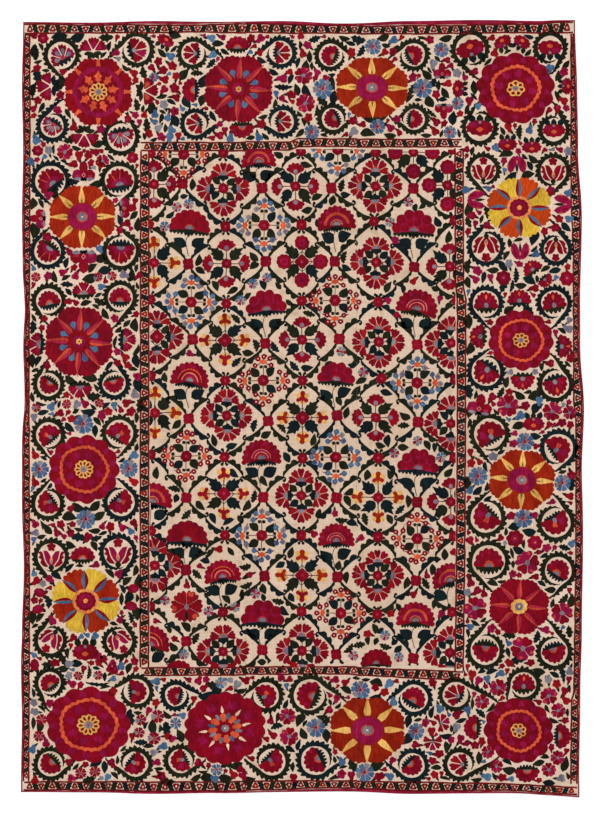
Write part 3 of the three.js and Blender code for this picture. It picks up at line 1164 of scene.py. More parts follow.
# %% The scrolls of each rosette: across, down, reach, winding, facing, flower
SCROLLS = [
    [(61.8, 55.5, 19, 1, 330, "bluefan"), (136.6, 49.8, 18.5, 1, 80, "fan"),
     (52.4, 126.3, 17, -1, 215, "bluefan"), (121, 137, 19.4, 1, 170, "bluefan")],
    [(193, 53, 17, -1, 280, "redfan"), (280.5, 53, 17, 1, 90, "redfan"),
     (195.7, 123.6, 16.5, 1, 255, "redfan"), (282.3, 121.8, 17, -1, 95, "redfan")],
    [(330.6, 55.7, 17, -1, 290, "bubbly"), (413.2, 54.8, 17, 1, 65, "bubbly"),
     (332.8, 119, 16.5, 1, 250, "bubbly"), (414, 119, 16, -1, 95, "bubbly")],
    [(470.5, 49.6, 20, 1, 345, "poppy"), (550, 48.7, 18, -1, 0, "poppy"),
     (479.8, 127.3, 19, -1, 180, "poppy"), (553.8, 130, 17, 1, 180, "poppy")],
    [(50.6, 181.2, 20.6, 1, 320, "lined"), (119.3, 181.2, 20.3, -1, 350, "lined"),
     (47.9, 250.9, 18.8, -1, 215, "lined"), (121, 250.9, 20.2, 1, 180, "lined")],
    [(49, 301, 18, 1, 350, "bubbly"), (120.2, 298, 18, -1, 0, "bubbly"),
     (48.8, 384.4, 17, -1, 215, "bubbly"), (114, 383.5, 17, 1, 165, "bubbly")],
    [(48.8, 435, 18, 1, 320, "kidney"), (119.3, 433.6, 19, -1, 30, "kidney"),
     (47.9, 503.2, 18, -1, 235, "kidney"), (121, 502.3, 19, 1, 135, "kidney")],
    [(51.5, 556.8, 19, 1, 0, "tulip"), (118, 553.2, 20, -1, 0, "tulip"),
     (50.6, 640.4, 18, -1, 210, "tulip"), (119.3, 641.3, 18, 1, 150, "tulip")],
    [(483.4, 170.5, 18, 1, 0, "redtulip"), (553.1, 171.4, 18.5, -1, 0, "redtulip"),
     (486.1, 247.3, 19.5, -1, 180, "redtulip"), (555.8, 249.1, 17.5, 1, 180, "redtulip")],
    [(486.1, 303.8, 18.5, 1, 0, "spiked"), (554, 303.8, 18.5, -1, 350, "spiked"),
     (486.1, 371.6, 20, -1, 215, "spiked"), (555.3, 384.1, 19, 1, 165, "spiked")],
    [(489.7, 434.3, 21, 1, 330, "kidney"), (558.4, 448.6, 20, -1, 55, "kidney"),
     (486.1, 517.3, 21, -1, 225, "kidney"), (555.8, 522.7, 20, 1, 150, "kidney")],
    [(488.8, 562, 22, 1, 0, "bubbly"), (558, 570.9, 19, -1, 35, "bubbly"),
     (485.2, 650.4, 20, -1, 185, "bubbly"), (554, 652.1, 19, 1, 165, "bubbly")],
    [(49.7, 683.2, 16.5, 1, 325, "bubbly"), (136.3, 691.3, 18, 1, 85, "kidney"),
     (50.6, 763.6, 18, 1, 225, "bubbly"), (135.4, 763.6, 18, -1, 125, "kidney")],
    [(175.9, 695.2, 16.2, -1, 285, "bubbly"), (266, 695.8, 18.4, 1, 60, "kidney"),
     (180.5, 760.4, 17.4, 1, 245, "kidney"), (272, 762, 19, -1, 135, "kidney")],
    [(309.5, 695.2, 21, -1, 290, "bubbly"), (414, 698, 19, 1, 30, "bubbly"),
     (315.7, 760.4, 20, 1, 245, "bubbly"), (412, 765, 18, -1, 135, "bubbly")],
    [(455.6, 694.4, 18, -1, 300, "redfan"), (459.9, 763.8, 17.6, 1, 280, "redfan"),
     (523.7, 685, 18, 1, 0, "spiked")],
]


def sew_scrolls():
    for (source, half_width, half_height, *_), its_scrolls in zip(charted(ROSETTES), SCROLLS):
        for middle, reach, turn, facing, kind in charted(its_scrolls):
            scroll(middle, reach, turn, source, half_width, half_height)
            scroll_flower(kind, middle, reach, facing)


sew_scrolls()
print("after the scrolls:", len(sewn), "patches")

# %% [markdown]
# ## Flowers between the scrolls
# A larger flower stands on each side of most rosettes, and buds, stars and leaves fill what is left. Each
# line of the lists below is one of them on the chart: its place across and down, and the way it faces.

# %% Larger flowers of the border: across, down, facing, and a size where it changes
FANS = [(93.4, 45.9, 0, "magenta"), (46, 86, 270, "magenta"), (148.8, 90.5, 90, "ember"),
        (84.5, 138.8, 180, "magenta")]
OPEN_FANS = [(440.5, 722.6, 75), (432.6, 740.6, 180)]
EYED_FANS = [(83.6, 289.5, 0), (35.4, 344.2, 270), (128.3, 339.8, 90), (80, 390.6, 180)]
SPIKED_FANS = [
    (519.1, 297.5, 0, 12.6), (477.2, 336.8, 270, 12.6), (564.7, 346.6, 90, 12), (522.7, 382.3, 180, 12.6),
    (531.4, 267.3, 330, 10.6), (546.2, 281.5, 140, 8.6),
]
IRISES = [
    (83.6, 172, 0, 12), (38, 218.7, 270, 10), (127.4, 208, 90, 10.5), (83.6, 260.7, 180, 14),
    (479.8, 405.6, 10, 13),
    (442.2, 71, 0, 9.5), (443.7, 110.6, 180, 9.5),
]
PANSIES = [
    (527.2, 562.9, 0, 12.4), (475.4, 608.4, 270, 12), (562, 613.3, 90, 11.4), (522.7, 648.6, 180, 12.6),
    (303.5, 76, 90, 9.5), (305.5, 103.5, 60, 10), (65, 152, 20, 8.5), (102.6, 161, 100, 7),
    (498, 687.7, 300, 9), (548.9, 696.2, 60, 9), (287.5, 716.5, 330, 8.8), (289, 736.8, 300, 9.6),
    (481.8, 701.8, 300, 7.6), (558, 710.5, 90, 7.8), (487.7, 752, 234, 7), (496.5, 766.3, 210, 7),
    (557.6, 757.9, 125, 7.6), (548.8, 769.8, 142, 7.6), (507.6, 405.8, 295, 11.6), (552.2, 411.6, 82, 10),
    (569.4, 412.8, 75, 7.4),
]
BUBBLY_FANS = [
    (189.5, 89.6, 270), (82.7, 554, 0), (237.7, 43.2, 0), (242, 130.7, 180),
    (471.3, 727.7, 270), (563.4, 736.2, 90), (527, 775, 180),
]
POPPIES = [
    (502.9, 42.7, 330, 9.6), (521.4, 43, 30, 9.6), (507.5, 144, 180, 10.4), (531.6, 146.7, 180, 10.4),
    (459, 88.5, 270, 9.6), (565.8, 86.6, 90, 9), (85.4, 651, 180, 14),
    (533.4, 423.2, 180, 11.6), (165.4, 41, 30, 9.6),
]
BELLS = [(516.9, 165.2, 0), (476.7, 200, 270), (562, 204.5, 90), (520, 250.9, 180)]
BIG_BUDS = [(39.9, 592.6, 290), (38.2, 609.4, 255), (133.4, 588.4, 70), (131.4, 605.8, 100), (34.6, 665, 0)]


def from_middle(place, facing, reach, share=0.42):
    """A motif whose root lies behind its middle."""
    return Motif(place - heading(facing) * reach * share, facing)


def sew_border_flowers():
    for place, facing, blush in charted(FANS):
        motif = from_middle(place, facing, 13.4)
        fan(motif, hand.uniform(14.2, 15.4), 3, 178, ("crimson",), 1.1, 4, blush, None, 0)
    for place, facing, reach in charted(SPIKED_FANS):
        spiked_fan(from_middle(place, facing, 0.95 * reach), reach)
    for row in charted(BUBBLY_FANS):
        bubbly(from_middle(*row, 12.5), 13)
    for row in charted(EYED_FANS):
        motif = from_middle(*row, 12.4)
        fan(motif, 13.2, 3, 178, ("crimson",), 0.9, 4, "magenta", None)
        motif.fill(HEART, "ember", half_round(5.0, 5, 0.12))
        motif.fill(TOP, "slate", half_round(3.8, 4, 0.12))
    for place, facing, half_width in charted(POPPIES):
        poppy(from_middle(place, facing, half_width * 0.67, 0.6), half_width)
    for row in charted(OPEN_FANS):
        fan(Motif(*row), 10, 5, 262, ("crimson", "crimson", "magenta"), 1.1, 2, None, "slate", 0.5)
    for row in charted(BIG_BUDS):
        big_bud(Motif(*row))
    for row in charted(BELLS):
        bell(Motif(*row), 9.6)
    for place, facing, size in charted(IRISES):
        iris(from_middle(place, facing, size, 0.3), size)
    for place, facing, size in charted(PANSIES):
        pansy(Motif(place, facing), size)


sew_border_flowers()
print("after the border flowers:", len(sewn), "patches")

# %% Stars, blossoms and pinwheels: across, down, reach
BLUE_STARS = [
    (373, 46.3, 8.4), (323, 89.2, 10.4), (422.6, 87.9, 10), (377.5, 126.3, 7.8), (311.8, 132.5, 7.8),
    (441.4, 49.6, 7.8), (457.6, 103.3, 6.6), (450, 132, 6.6), (83.6, 423.7, 10.2), (39.9, 469.3, 9),
    (129, 468.4, 9.4), (85.8, 519.3, 10), (525, 441.9, 9), (478, 476.3, 9.4), (562.4, 483, 8.4),
    (523.2, 518.7, 9.6), (316, 728, 9.8), (360.4, 689.8, 9.8), (364.8, 772, 9.4), (416.2, 731, 8.4),
    (154, 77, 5),
]
BLOSSOMS = [
    (43, 38.3, 6), (37.6, 150.8, 6), (503.5, 278, 8), (566.9, 278.6, 8),
    (515, 538.8, 9), (534.8, 542.8, 8), (132.7, 157.5, 6),
]
PINWHEELS = [
    (78.3, 676, 5), (97.9, 675.2, 5), (41.6, 719.4, 6), (39, 735.9, 6), (80.9, 773, 6), (95.2, 771.6, 6),
    (140.8, 719.4, 6), (139, 732.3, 6), (157.7, 716, 7), (154, 738, 7), (36, 277, 5), (98, 277, 5),
    (112, 276, 5), (66.6, 404, 5), (99.7, 403, 5), (36.3, 407.6, 5),
]
SKY_PINWHEELS = [(221, 682.5, 6.3), (175.7, 723, 6.2), (216.5, 769.5, 6.4)]

for row in charted(BLUE_STARS):
    blue_star(*row)
for row in charted(BLOSSOMS):
    round_blossom(*row)
for row in charted(PINWHEELS):
    pinwheel(*row, IN_REDS, 28.6)
for row in charted(SKY_PINWHEELS):
    pinwheel(*row, IN_SKY)

# %% Buds: across, down
RED_BUDS = """
33.6 35.2, 63 71.8, 115.8 53, 37.2 68.2, 60.4 95, 38 100.4, 33.6 108.4, 57.7 110.2, 73.8 127, 101 129.4,
127.8 119, 151.5 67.3, 148.8 133.4, 144.3 114.6, 222.5 37, 251 39, 260 53, 219.4 124, 261.3 124.5, 282.3 79,
282.3 99, 172.5 65.5, 163 70, 176 75.8, 164.5 79.4, 174.7 87.9, 176 97.2, 174.7 111, 300.7 36, 307.4 45.4,
351.6 53, 393 51.3, 308.3 118.2, 325.7 78, 353.4 121, 397 118.7, 494.6 53.3, 474.2 71.8, 508.5 127.3,
557 109.3, 466.4 149.5, 48.8 195.5, 47.4 237, 119.8 230.3, 69.3 251.8, 99.7 163.4, 47.9 276, 63 272.3,
75.6 276, 139 275, 68.4 301.4, 44.3 318.3, 115 318.3, 47 365.6, 117.5 363, 137 376.4, 126.5 403, 72 419,
71 508.6, 60.8 524.6, 70.7 532.7, 102.4 526.4, 88 537, 134 522.9, 49.7 578.8, 118.9 573.4, 52.4 620.7,
120.2 619.8, 73 637.7, 55.5 662.7, 134.5 661,
98.3 656.4, 103.7 659, 98.8 662.7, 112.6 663, 110 669, 114.6 669.8, 50 703.3, 113 691.7, 68.9 761.8,
111.7 762.7, 46 743, 71.6 777.9, 35 780, 148.8 710, 156 702, 132.3 736, 156.8 761.8, 159.5 776, 168 736,
172.3 738, 161.6 775.5, 198.7 680.4, 206.3 679, 204 687.6, 198.7 762.6, 270.5 721, 273.2 735.4, 233.5 774.2,
241 768.8, 242.9 775.5, 280.8 677.3, 293.4 778, 336.7 698.8, 345.2 682.7, 375.5 687, 351.4 775.5, 379 776,
415.7 744.3, 425.3 722.3, 451.3 739.8, 456.8 714.4, 432.6 760.4, 434.4 774.4, 432.6 682.3, 471.9 675,
508.9 662.9, 530.7 662.9, 471.8 216, 487.4 226, 555.3 228, 550.4 191, 475.4 279.5, 490.6 277.7, 509.3 392,
570.5 358.2, 534.3 288.6, 513.3 443.7, 536 446.3, 471 463.3, 511 516, 534 515.5, 470 540.5, 571.4 475.4,
570 496.3
"""
BLUE_BUDS = """
31 161.6, 36.3 139.6, 48.8 150.4, 155 113.8, 158.6 128, 164 104.4, 167.6 117.3, 171.6 129.8, 169.8 137,
212.7 54.4, 230.5 137.9, 258.7 137.4, 478.4 106.5, 529.7 130, 495.5 147.7, 568 151.4, 550 68.6, 124.2 275,
101.5 286.6, 99.7 249, 51.5 406.7, 114.4 405, 135 394.2, 35.4 532.7, 95.2 636, 69.3 663.6, 121 666.3,
34.5 711.8, 32.7 749.3, 107.7 777, 156 681, 154 752, 215 778.4, 341.6 761.7, 393.4 701.4, 467.7 710,
439.8 708.3, 487 679,
500.8 673.6, 548.2 679, 569.5 671.5, 466 189.7, 568 193, 569 219.2, 535.7 254, 508.9 263.8, 568.3 328.8,
539.2 401, 520 415.8, 470 490.5, 571.8 543.7, 470 627, 467.4 592.3
"""


def places(text):
    """The places of a list like the two above."""
    for pair in text.replace("\n", " ").split(","):
        across, down = pair.split()
        yield float(across) + 1j * float(down)


for place in places(RED_BUDS):
    bud(place, hand.choice(("crimson", "madder", "crimson", "magenta")), hand.uniform(3.6, 4.7))
for place in places(BLUE_BUDS):
    bud(place, "blue", hand.uniform(3.7, 4.6))
print("after the buds:", len(sewn), "patches")

# %% Leaves: across, down
LEAVES = """
59.5 36.5, 77.4 36.5, 106 37, 35.4 52.1, 37 77, 32.7 90.5, 60.4 82.5, 69.3 139.6, 98 143, 144.3 72.7,
147.9 124.5, 136.3 104, 150.6 106.6, 175 34.7, 184 74.5, 187 102, 203 81, 203 100, 174.7 120, 357.8 38.3,
382.8 37, 307.4 90.5, 333.3 83.4, 333.3 97.7, 322 100, 306 67.3, 411.4 88.8, 426.6 74.5, 432 82.5, 430 100.4,
367.6 134.3, 390 134.3, 369.4 119, 381 118.2, 445.5 92.6, 453.4 118, 445.5 37.6, 474 88, 72.9 183, 96 183,
31.8 203.5, 32.7 231, 138 224, 55.5 192.8, 89.9 276.8, 105 270.5, 130.5 275, 66.6 284.8, 100.6 258,
99.7 301.4, 31.8 327, 32.7 361, 136.3 324.6, 137.2 360.3, 71 379, 89.9 379, 94.3 395, 88 411, 138 385,
138.5 406, 79 506.3, 94.3 506, 85.8 512, 69.3 518.4, 98.8 515.7, 79 538, 95.2 537, 47.9 529, 47 602,
33.6 617, 128.3 596.6, 137 581.4, 135.4 612.7, 47.9 663.6, 62 660, 75.6 663.6, 64 667, 39 727, 96 763.6,
89.4 779.6, 131.8 717, 153 727, 167 729, 179.5 735.4, 213.4 683.6, 205.4 694.3, 216 693.4, 208 778.2,
226.3 777.3, 226 764, 235.7 764, 249 779, 167.9 780, 301 721, 324.6 721, 303.7 733.6, 326.4 736, 376 683.6,
375.5 698, 353.2 764.8, 377.3 765.7, 407.7 721, 406.8 738, 539 670.8, 486 212.5, 467.4 208, 469 221.4,
503 266, 535.2 239.3, 528 176, 510.2 176, 505.8 155.4, 533.4 159, 529 281, 469 266, 504.9 287.7, 509.3 310,
528 310, 469 321.6, 469 348.4, 469 392, 469 411.8, 520 394.8, 534.3 394, 537.9 409, 519 426, 467 482.5,
572.7 484.3, 529 530.7, 514.7 526.3, 519 550, 508.4 636, 518 662, 571 600.4, 569 631.6, 509 769, 564.6 764,
548.9 783
"""
# Each long leaf: across, down, facing, length and half width.
LONG_LEAVES = [
    (284, 86.5, 90, 20, 3.2), (520.5, 133, 180, 16, 3.6), (515.6, 275, 0, 17, 3.0), (88, 671.6, 0, 15, 2.4),
    (98, 682, 90, 26, 2.0), (561, 674, 165, 22, 3.0), (35.4, 52, 0, 17, 4.5), (34, 90, 12, 18, 2.6),
]
GUARD_LINES_ACROSS = (29, 140, 463, 573)
GUARD_LINES_DOWN = (33, 142, 676, 783)
NEAR_GUARD = 15


def facing_of_leaf(place):
    """Leaves beside a guard band lie along it, and the others lie round the nearest rosette."""
    to_upright = min(abs(place.real - line) for line in GUARD_LINES_ACROSS)
    to_level = min(abs(place.imag - line) for line in GUARD_LINES_DOWN)
    if min(to_upright, to_level) < NEAR_GUARD:
        return (0 if to_upright < to_level else 90) + hand.uniform(-18, 18) + hand.choice((0, 180))
    middles = [middle for middle, *_ in charted(ROSETTES)]
    nearest = min(middles, key=lambda middle: abs(middle - place))
    return heading_of(place - nearest) + 90 + hand.uniform(-40, 40) + hand.choice((0, 180))


for place in places(LEAVES):
    length = hand.uniform(13, 17)
    leaf(place, facing_of_leaf(place), length, length * hand.uniform(0.25, 0.32), hand.choice((0, 0, 3)))
for row in charted(LONG_LEAVES):
    leaf(*row, 5)
print("after the leaves:", len(sewn), "patches")

# %% [markdown]
# ## The guard bands
# Two narrow bands frame the border, one at the cloth's edge and one round the field. Two thin red lines hold
# a row of small red triangles that point in and out in turn, with slanting dark leaves between them.

# %% Lines along the guard bands
LINE_INSET = 0.9


def line_inside(edge, upright, inset):
    """A line beside an edge of the cloth: what it returns gives the place beside for a place along."""
    edge = on_chart(edge[:, 0], edge[:, 1])
    along, beside = (edge.imag, edge.real) if upright else (edge.real, edge.imag)
    order = np.argsort(along)
    return lambda at: np.interp(at, along[order], beside[order]) + inset


def line_through(*stops):
    """The same for a line through stops, each a place along and a place beside."""
    along, beside = np.array(stops, float).T
    return lambda at: np.interp(at, along, beside)


top_edge = line_inside(ends_up, False, LINE_INSET)
bottom_edge = line_inside(ends_down, False, -LINE_INSET)
left_edge = line_inside(left_side, True, LINE_INSET)
right_edge = line_inside(right_side, True, -LINE_INSET)

# %% Guard bands
GUARD_TRIANGLE = np.array([3.0 - 1.0j, 3.0 + 1.0j, 0.8 + 2.3j, -1.3 + 3.1j, -2.5 + 2.9j, -2.7 + 1.0j,
                           -2.7 - 1.0j, -2.5 - 2.9j, -1.3 - 3.1j, 0.8 - 2.3j])
GUARD_LEAF = np.array([3.7 + 1.9j, 3.3 + 4.6j, 3.7 + 7.6j, 1.8 + 7.4j, 0.7 + 8.7j, -1.0 + 8.2j, -1.8 + 9.3j,
                       -3.7 + 9.5j, -3.3 + 6.8j, -3.7 + 3.9j, -1.9 + 4.1j, -0.9 + 2.8j, 0.9 + 3.2j,
                       1.7 + 2.1j])
GUARD_PITCH = 11.3
SIDE_PITCH = 10.8


def guard(outer, inner, begin, end, upright, pitch):
    """A guard band between two lines, from one place along them to another."""
    count = max(2, round((end - begin) / pitch))
    fine = np.linspace(begin, end, count * 6 + 1)
    stretch = (end - begin) / count / GUARD_PITCH

    def at(along, beside):
        return beside + 1j * along if upright else along + 1j * beside

    for line in (outer, inner):
        band(LEAF, "maroon", *either_side(at(fine, line(fine)), 0.95))
    for i in range(count):
        along = begin + (i + 0.5) * (end - begin) / count
        near, far = float(outer(along)), float(inner(along))
        size = (abs(far - near) - 1.3) / 2
        inward = at(0, 1) if i % 2 else -at(0, 1)
        place = at(along + hand.uniform(-0.3, 0.3), (near + far) / 2)
        motif = Motif(place, heading_of(inward), size / 3.3, stretch)
        motif.fill(PETAL, hand.choice(("wine", "maroon")), GUARD_TRIANGLE, 0)
        motif.fill(MARK, hand.choice(("cream", "apricot", "cream")), oval(1.1, 1.0, -0.3, 6))
        motif.fill(HEART, hand.choice(("wine", "orange", "maroon")), oval(0.5, middle=-0.4, count=5))
        dark = hand.choice(DARK_SILKS)
        if i < count - 1:
            motif.fill(LEAF, dark, GUARD_LEAF if (i % 2) == upright else GUARD_LEAF.conj())


# Each guard: its outer and inner line, where it begins and ends, whether it runs down the cloth, its pitch.
GUARDS = [
    (top_edge,
     line_through((24, 33.4), (150, 32.5), (195, 31.6), (290, 33.5), (430, 33.5), (480, 33), (575, 33)),
     24.5, float(right_edge(28)), False, GUARD_PITCH),
    (bottom_edge,
     line_through((24, 782), (200, 781.5), (350, 781), (430, 782), (520, 784.5), (578, 788)),
     24, float(right_edge(788)), False, GUARD_PITCH),
    (left_edge,
     line_through((24, 29.6), (130, 30), (400, 29), (600, 29.5), (790, 28.6)),
     34, 781, True, SIDE_PITCH),
    (right_edge,
     line_through((24, 571), (200, 571), (250, 573.4), (400, 573.6), (420, 576), (560, 575.8), (690, 574),
                  (700, 571.5), (790, 570.7)),
     34, 784, True, SIDE_PITCH),
    (line_through((140, 142.3), (290, 142.3), (298, 139.2), (463, 139.2)),
     line_through((140, 150.5), (290, 150.3), (298, 146.8), (463, 146.5)),
     140.8, 462, False, GUARD_PITCH),
    (line_through((140, 675), (345, 674), (463, 680)),
     line_through((140, 667.5), (345, 667), (463, 671.5)),
     141, 463, False, GUARD_PITCH),
    (line_through((142, 140.8), (674, 140.3)),
     line_through((142, 148.8), (674, 148.4)),
     151, 667, True, GUARD_PITCH),
    (line_through((139, 460.8), (150, 463), (285, 463.4), (300, 465.6), (425, 465.4), (560, 464.6),
                  (680, 463)),
     line_through((139, 453), (150, 455), (285, 455.6), (300, 457.4), (425, 457.4), (560, 456.6), (672, 455)),
     148, 671, True, GUARD_PITCH),
]

for row in GUARDS:
    guard(*row)
print("after the guard bands:", len(sewn), "patches")

# %% [markdown]
# ## The field
# A lattice of toothed leaves makes diamonds over the field. Round red flowers and four-lobed red crosses sit
# where its lines meet. Rows of cells with four flowers change with rows of single large flowers and posies.
# The guard cuts the cells at the sides, so their patches are clipped at the edge of the field.

# %% The lattice: crosses and round flowers, across and down
CROSSES = """
182.5 183.3, 262 188.3, 331.3 188.3, 413.3 188.3, 188.3 263.7, 265.8 261.7, 334.7 261.7, 414.2 266.7,
192.5 339.2, 265.3 343.8, 339.2 339.2, 417.2 344.2, 188.8 418.3, 268 421.3, 337.2 415.8, 418 421.7,
186.2 497.2, 263.3 497.5, 336.3 498, 417.2 502, 185.8 569.7, 264.5 576.2, 337.5 577.2, 415.8 580.3,
186.2 640.8, 262.2 650.3, 336.2 654.7, 413.3 658
"""
ROUND_FLOWERS = """
150.8 153, 223.3 152.5, 300.8 151, 376 151.7, 452.5 149, 149 224.2, 225.5 226.2, 301.3 225, 374.2 221.2,
454.2 220, 150.3 299.2, 226.2 303.3, 301.7 301.3, 378.3 301.7, 456.7 300, 150.8 375.5, 225 380.3, 302.5 380.8,
381.2 378.3, 455 379.2, 150.8 454.2, 224.5 456.7, 302.5 458.3, 378.3 457.5, 454.2 457.5, 150.8 530.5,
225 535, 301.3 535.8, 377.8 536.7, 454.2 535.8, 150 606.2, 222.8 611.7, 301.7 611.7, 377.2 614.2,
452.5 611.7, 150 682, 223 688, 301 690, 377 692, 453 690
"""
FIELD_BOX = (149.6, 149.2, 455.6, 667.2)
HOOK_REACH = 2.0
CROSS_REACH = 4.0
FLOWER_REACH = 6.4


def lattice_leaf(start, end, inward):
    """One toothed leaf of the lattice, with a hook that curls towards the flowers."""
    length = abs(end - start)
    onward = (end - start) / length
    side = 1 if (inward * onward.conjugate()).imag > 0 else -1
    out = -1j * onward * side * 3.0
    spine = bow(start, start + onward * length * 0.3 + out, end - onward * length * 0.3 + out, end, 10)
    pivot = end + 1j * onward * side * HOOK_REACH
    angles = np.linspace(0.3, 3.6, 6)
    hook = pivot + (end - pivot) * np.exp(1j * side * angles) * np.linspace(1, 0.75, 6)
    path = np.concatenate([spine, hook])
    steps = np.arange(len(path))
    swell = np.interp(steps, [0, 5, 9, 11, 15], [0.2, 1, 0.95, 0.55, 0.5])
    smooth = 1.7 * swell
    teeth = np.where(steps % 3, 1.5, 0.1) * np.interp(steps, [0, 3, 9, 10], [1, 1, 1, 0])
    toothed = 1.9 * swell + 1.8 * teeth * swell
    left, right = (toothed, smooth) if side > 0 else (smooth, toothed)
    silk = hand.choice(DARK_SILKS)
    band(LEAF, silk, *either_side(path, left, right))
    fill(LEAF, silk, hook[-1] + oval(1.7, count=7))


def lattice_line(cross, flower):
    """The two leaves from a red cross to a round flower."""
    cell = flower.real + 1j * cross.imag
    onward = (flower - cross) / abs(flower - cross)
    begin = cross + onward * CROSS_REACH
    middle = (cross + flower) / 2 + hand.uniform(-0.6, 0.6)
    end = flower - onward * FLOWER_REACH
    inward = cell - middle
    lattice_leaf(begin, middle - onward * 0.4, inward)
    lattice_leaf(middle + onward * 0.9, end, inward)


def sew_lattice():
    crosses = np.array(list(places(CROSSES))).reshape(-1, 4)
    flowers = np.array(list(places(ROUND_FLOWERS))).reshape(-1, 5)
    for (row, column), cross in np.ndenumerate(crosses):
        for flower in flowers[row:row + 2, column:column + 2].ravel():
            lattice_line(cross, flower)
        motif = Motif(cross, hand.uniform(-8, 8))
        motif.fill(PETAL, "crimson", scalloped(6.4, 4, 0.22, 45, steps=8))
        for tip in (4.2, 4.2j, -4.2, -4.2j):
            motif.band(MARK, "rose_red", blade(0, tip, 0.2, 0.5, steps=4))
    for (_, column), flower in np.ndenumerate(flowers):
        motif = Motif(flower, hand.uniform(0, 60))
        motif.fill(PETAL, "crimson", scalloped(5.6, 6, 0.16))
        motif.fill(MARK, "rose_red", oval(1.5, count=7))
        if column > 2:
            for degrees in (45, 135, 225, 315):
                motif.band(LEAF, "green", blade(polar(3.5, degrees), polar(8.2, degrees), 1.6, 0.4, steps=5))


cut_edge["box"] = FIELD_BOX
sew_lattice()
print("after the lattice:", len(sewn), "patches")

# %% Cells of four flowers
FOUR_WAYS = (0, 90, 180, 270)
CELL_REACH = 18.6
HOLLY = np.array([-7.0, -6.0 - 2.6j, -4.2 - 4.6j, -0.2 - 5.6j, 0.6 - 4.1j, 4.0 - 5.0j, 4.2 - 2.8j, 9.4 + 0.8j,
                  4.2 + 1.9j, 4.8 + 4.2j, 1.0 + 3.6j, 0.2 + 5.4j, -3.6 + 4.4j, -6.2 + 2.2j])


def palmette(place, facing):
    motif = Motif(place - heading(facing) * 4.8, facing)
    petals = hand.choice((4, 5, 5))
    fan(motif, 13.6, petals, 205, ("crimson", "madder", "crimson"), 0.5, 7 - petals, None, None, 0.001)
    motif.fill(MARK, hand.choice(("rose", "ember", "ember")), half_round(5.2, 5, 0.12))
    motif.fill(HEART, "slate", half_round(4.0, 4, 0.12))
    for turn in (-58, 0, 58):
        motif.band(LEAF, "teal", blade(-0.2, polar(6.4, 180 + turn), 2.5, 0.6, steps=6))


def small_poppy(place, facing):
    """A half-round cup with a scalloped edge and a grey eye at its root."""
    motif = Motif(place - heading(facing) * 3.0, facing)
    cup = half_round(9.4, 6, 0.15, 0.9, 182)
    cup[-1] = -4.0
    motif.fill(PETAL, "crimson", cup, 2.4)
    motif.fill(MARK, "rose_red", oval(2.9, 2.8, -0.6, 9))
    motif.fill(HEART, "slate", oval(2.3, 2.2, -0.6, 8))


def rose(place, facing):
    motif = Motif(place, facing)
    motif.fill(PETAL, "crimson", scalloped(7.9, 9, 0.12))
    motif.fill(MARK, "magenta", scalloped(4.2, 7, 0.14, 20))
    motif.fill(HEART, "crimson", scalloped(2.2, 5, 0.14))


TREFOIL_YELLOWS = (-3.6 - 2.4j, -3.6 + 2.2j, 3.4 - 4.2j, 3.0 + 4.0j)
CLUB = mirrored([-1.6, -2.6 + 2.2j, -3.6 + 4.2j, -2.4 + 6.0j, -0.2 + 6.0j, 0.7 + 4.2j, 1.5 + 2.3j,
                 3.4 + 2.0j, 5.3 + 2.7j, 7.2 + 1.9j, 7.9])


def trefoil(place, facing):
    """A club of three brown-red lobes, with yellow petals at its root and beside it."""
    motif = Motif(place, facing)
    silk = hand.choice(("rust", "rust", "madder"))
    for spot, reach in zip(TREFOIL_YELLOWS, (1.9, 1.6, 2.6, 2.6)):
        motif.fill(PETAL, "straw", scalloped(reach, 4, 0.14, 20, spot))
    motif.fill(MARK, silk, CLUB, 0)
    motif.band(MARK, silk, blade(-7.6, -1.0, 0.8, 0.8, steps=5))


CELL_FLOWERS = {"palmette": palmette, "poppy": small_poppy, "rose": rose, "trefoil": trefoil}


def diamond(place, reach, silk):
    """A thin line round the middle of a cell, from flower to flower."""
    corners = np.array([place + heading(degrees) * reach for degrees in (*FOUR_WAYS, 0)])
    for begin, end in zip(corners[:-1], corners[1:]):
        band(LEAF, silk, *either_side(np.linspace(begin, end, 4), 0.4))


def flower_cell(place, kind, framed=False):
    narrow = kind == "palmette"
    for facing in FOUR_WAYS:
        reach = CELL_REACH + hand.uniform(-0.7, 0.7)
        middle = place + heading(facing) * reach
        stem = np.linspace(place + heading(facing) * 4, place + heading(facing) * (reach - 4.5), 4)
        band(LEAF, "stem", *either_side(stem, 0.5))
        CELL_FLOWERS[kind](middle, facing + hand.uniform(-6, 6))
        slant = facing + 45
        leaf_middle = place + heading(slant) * ((10.8 if narrow else 13.2) + hand.uniform(-0.6, 0.6))
        if narrow:
            leaf(leaf_middle, slant + hand.uniform(-15, 15), hand.uniform(10.5, 12), 3.8)
        else:
            across = hand.choice((-1, 1)) * hand.uniform(0.95, 1.1)
            turned = Motif(leaf_middle, slant + hand.uniform(-16, 16), hand.uniform(1.05, 1.2), 1.08 * across)
            turned.fill(LEAF, hand.choice(("teal", "green")), HOLLY, 0)
    if framed:
        diamond(place, 10.2, "green")
    motif = Motif(place, 0 if framed else hand.uniform(0, 60))
    for tip in (8, 8j, -8, -8j):
        motif.band(LEAF, "stem", blade(0, tip, 1.3, 0.5, steps=5))
    motif.fill(PETAL, "crimson", scalloped(7.2, 4, 0.3) if framed else scalloped(5.4, 6, 0.12))
    motif.fill(MARK, "rose_red", scalloped(1.9, 6, 0.2))


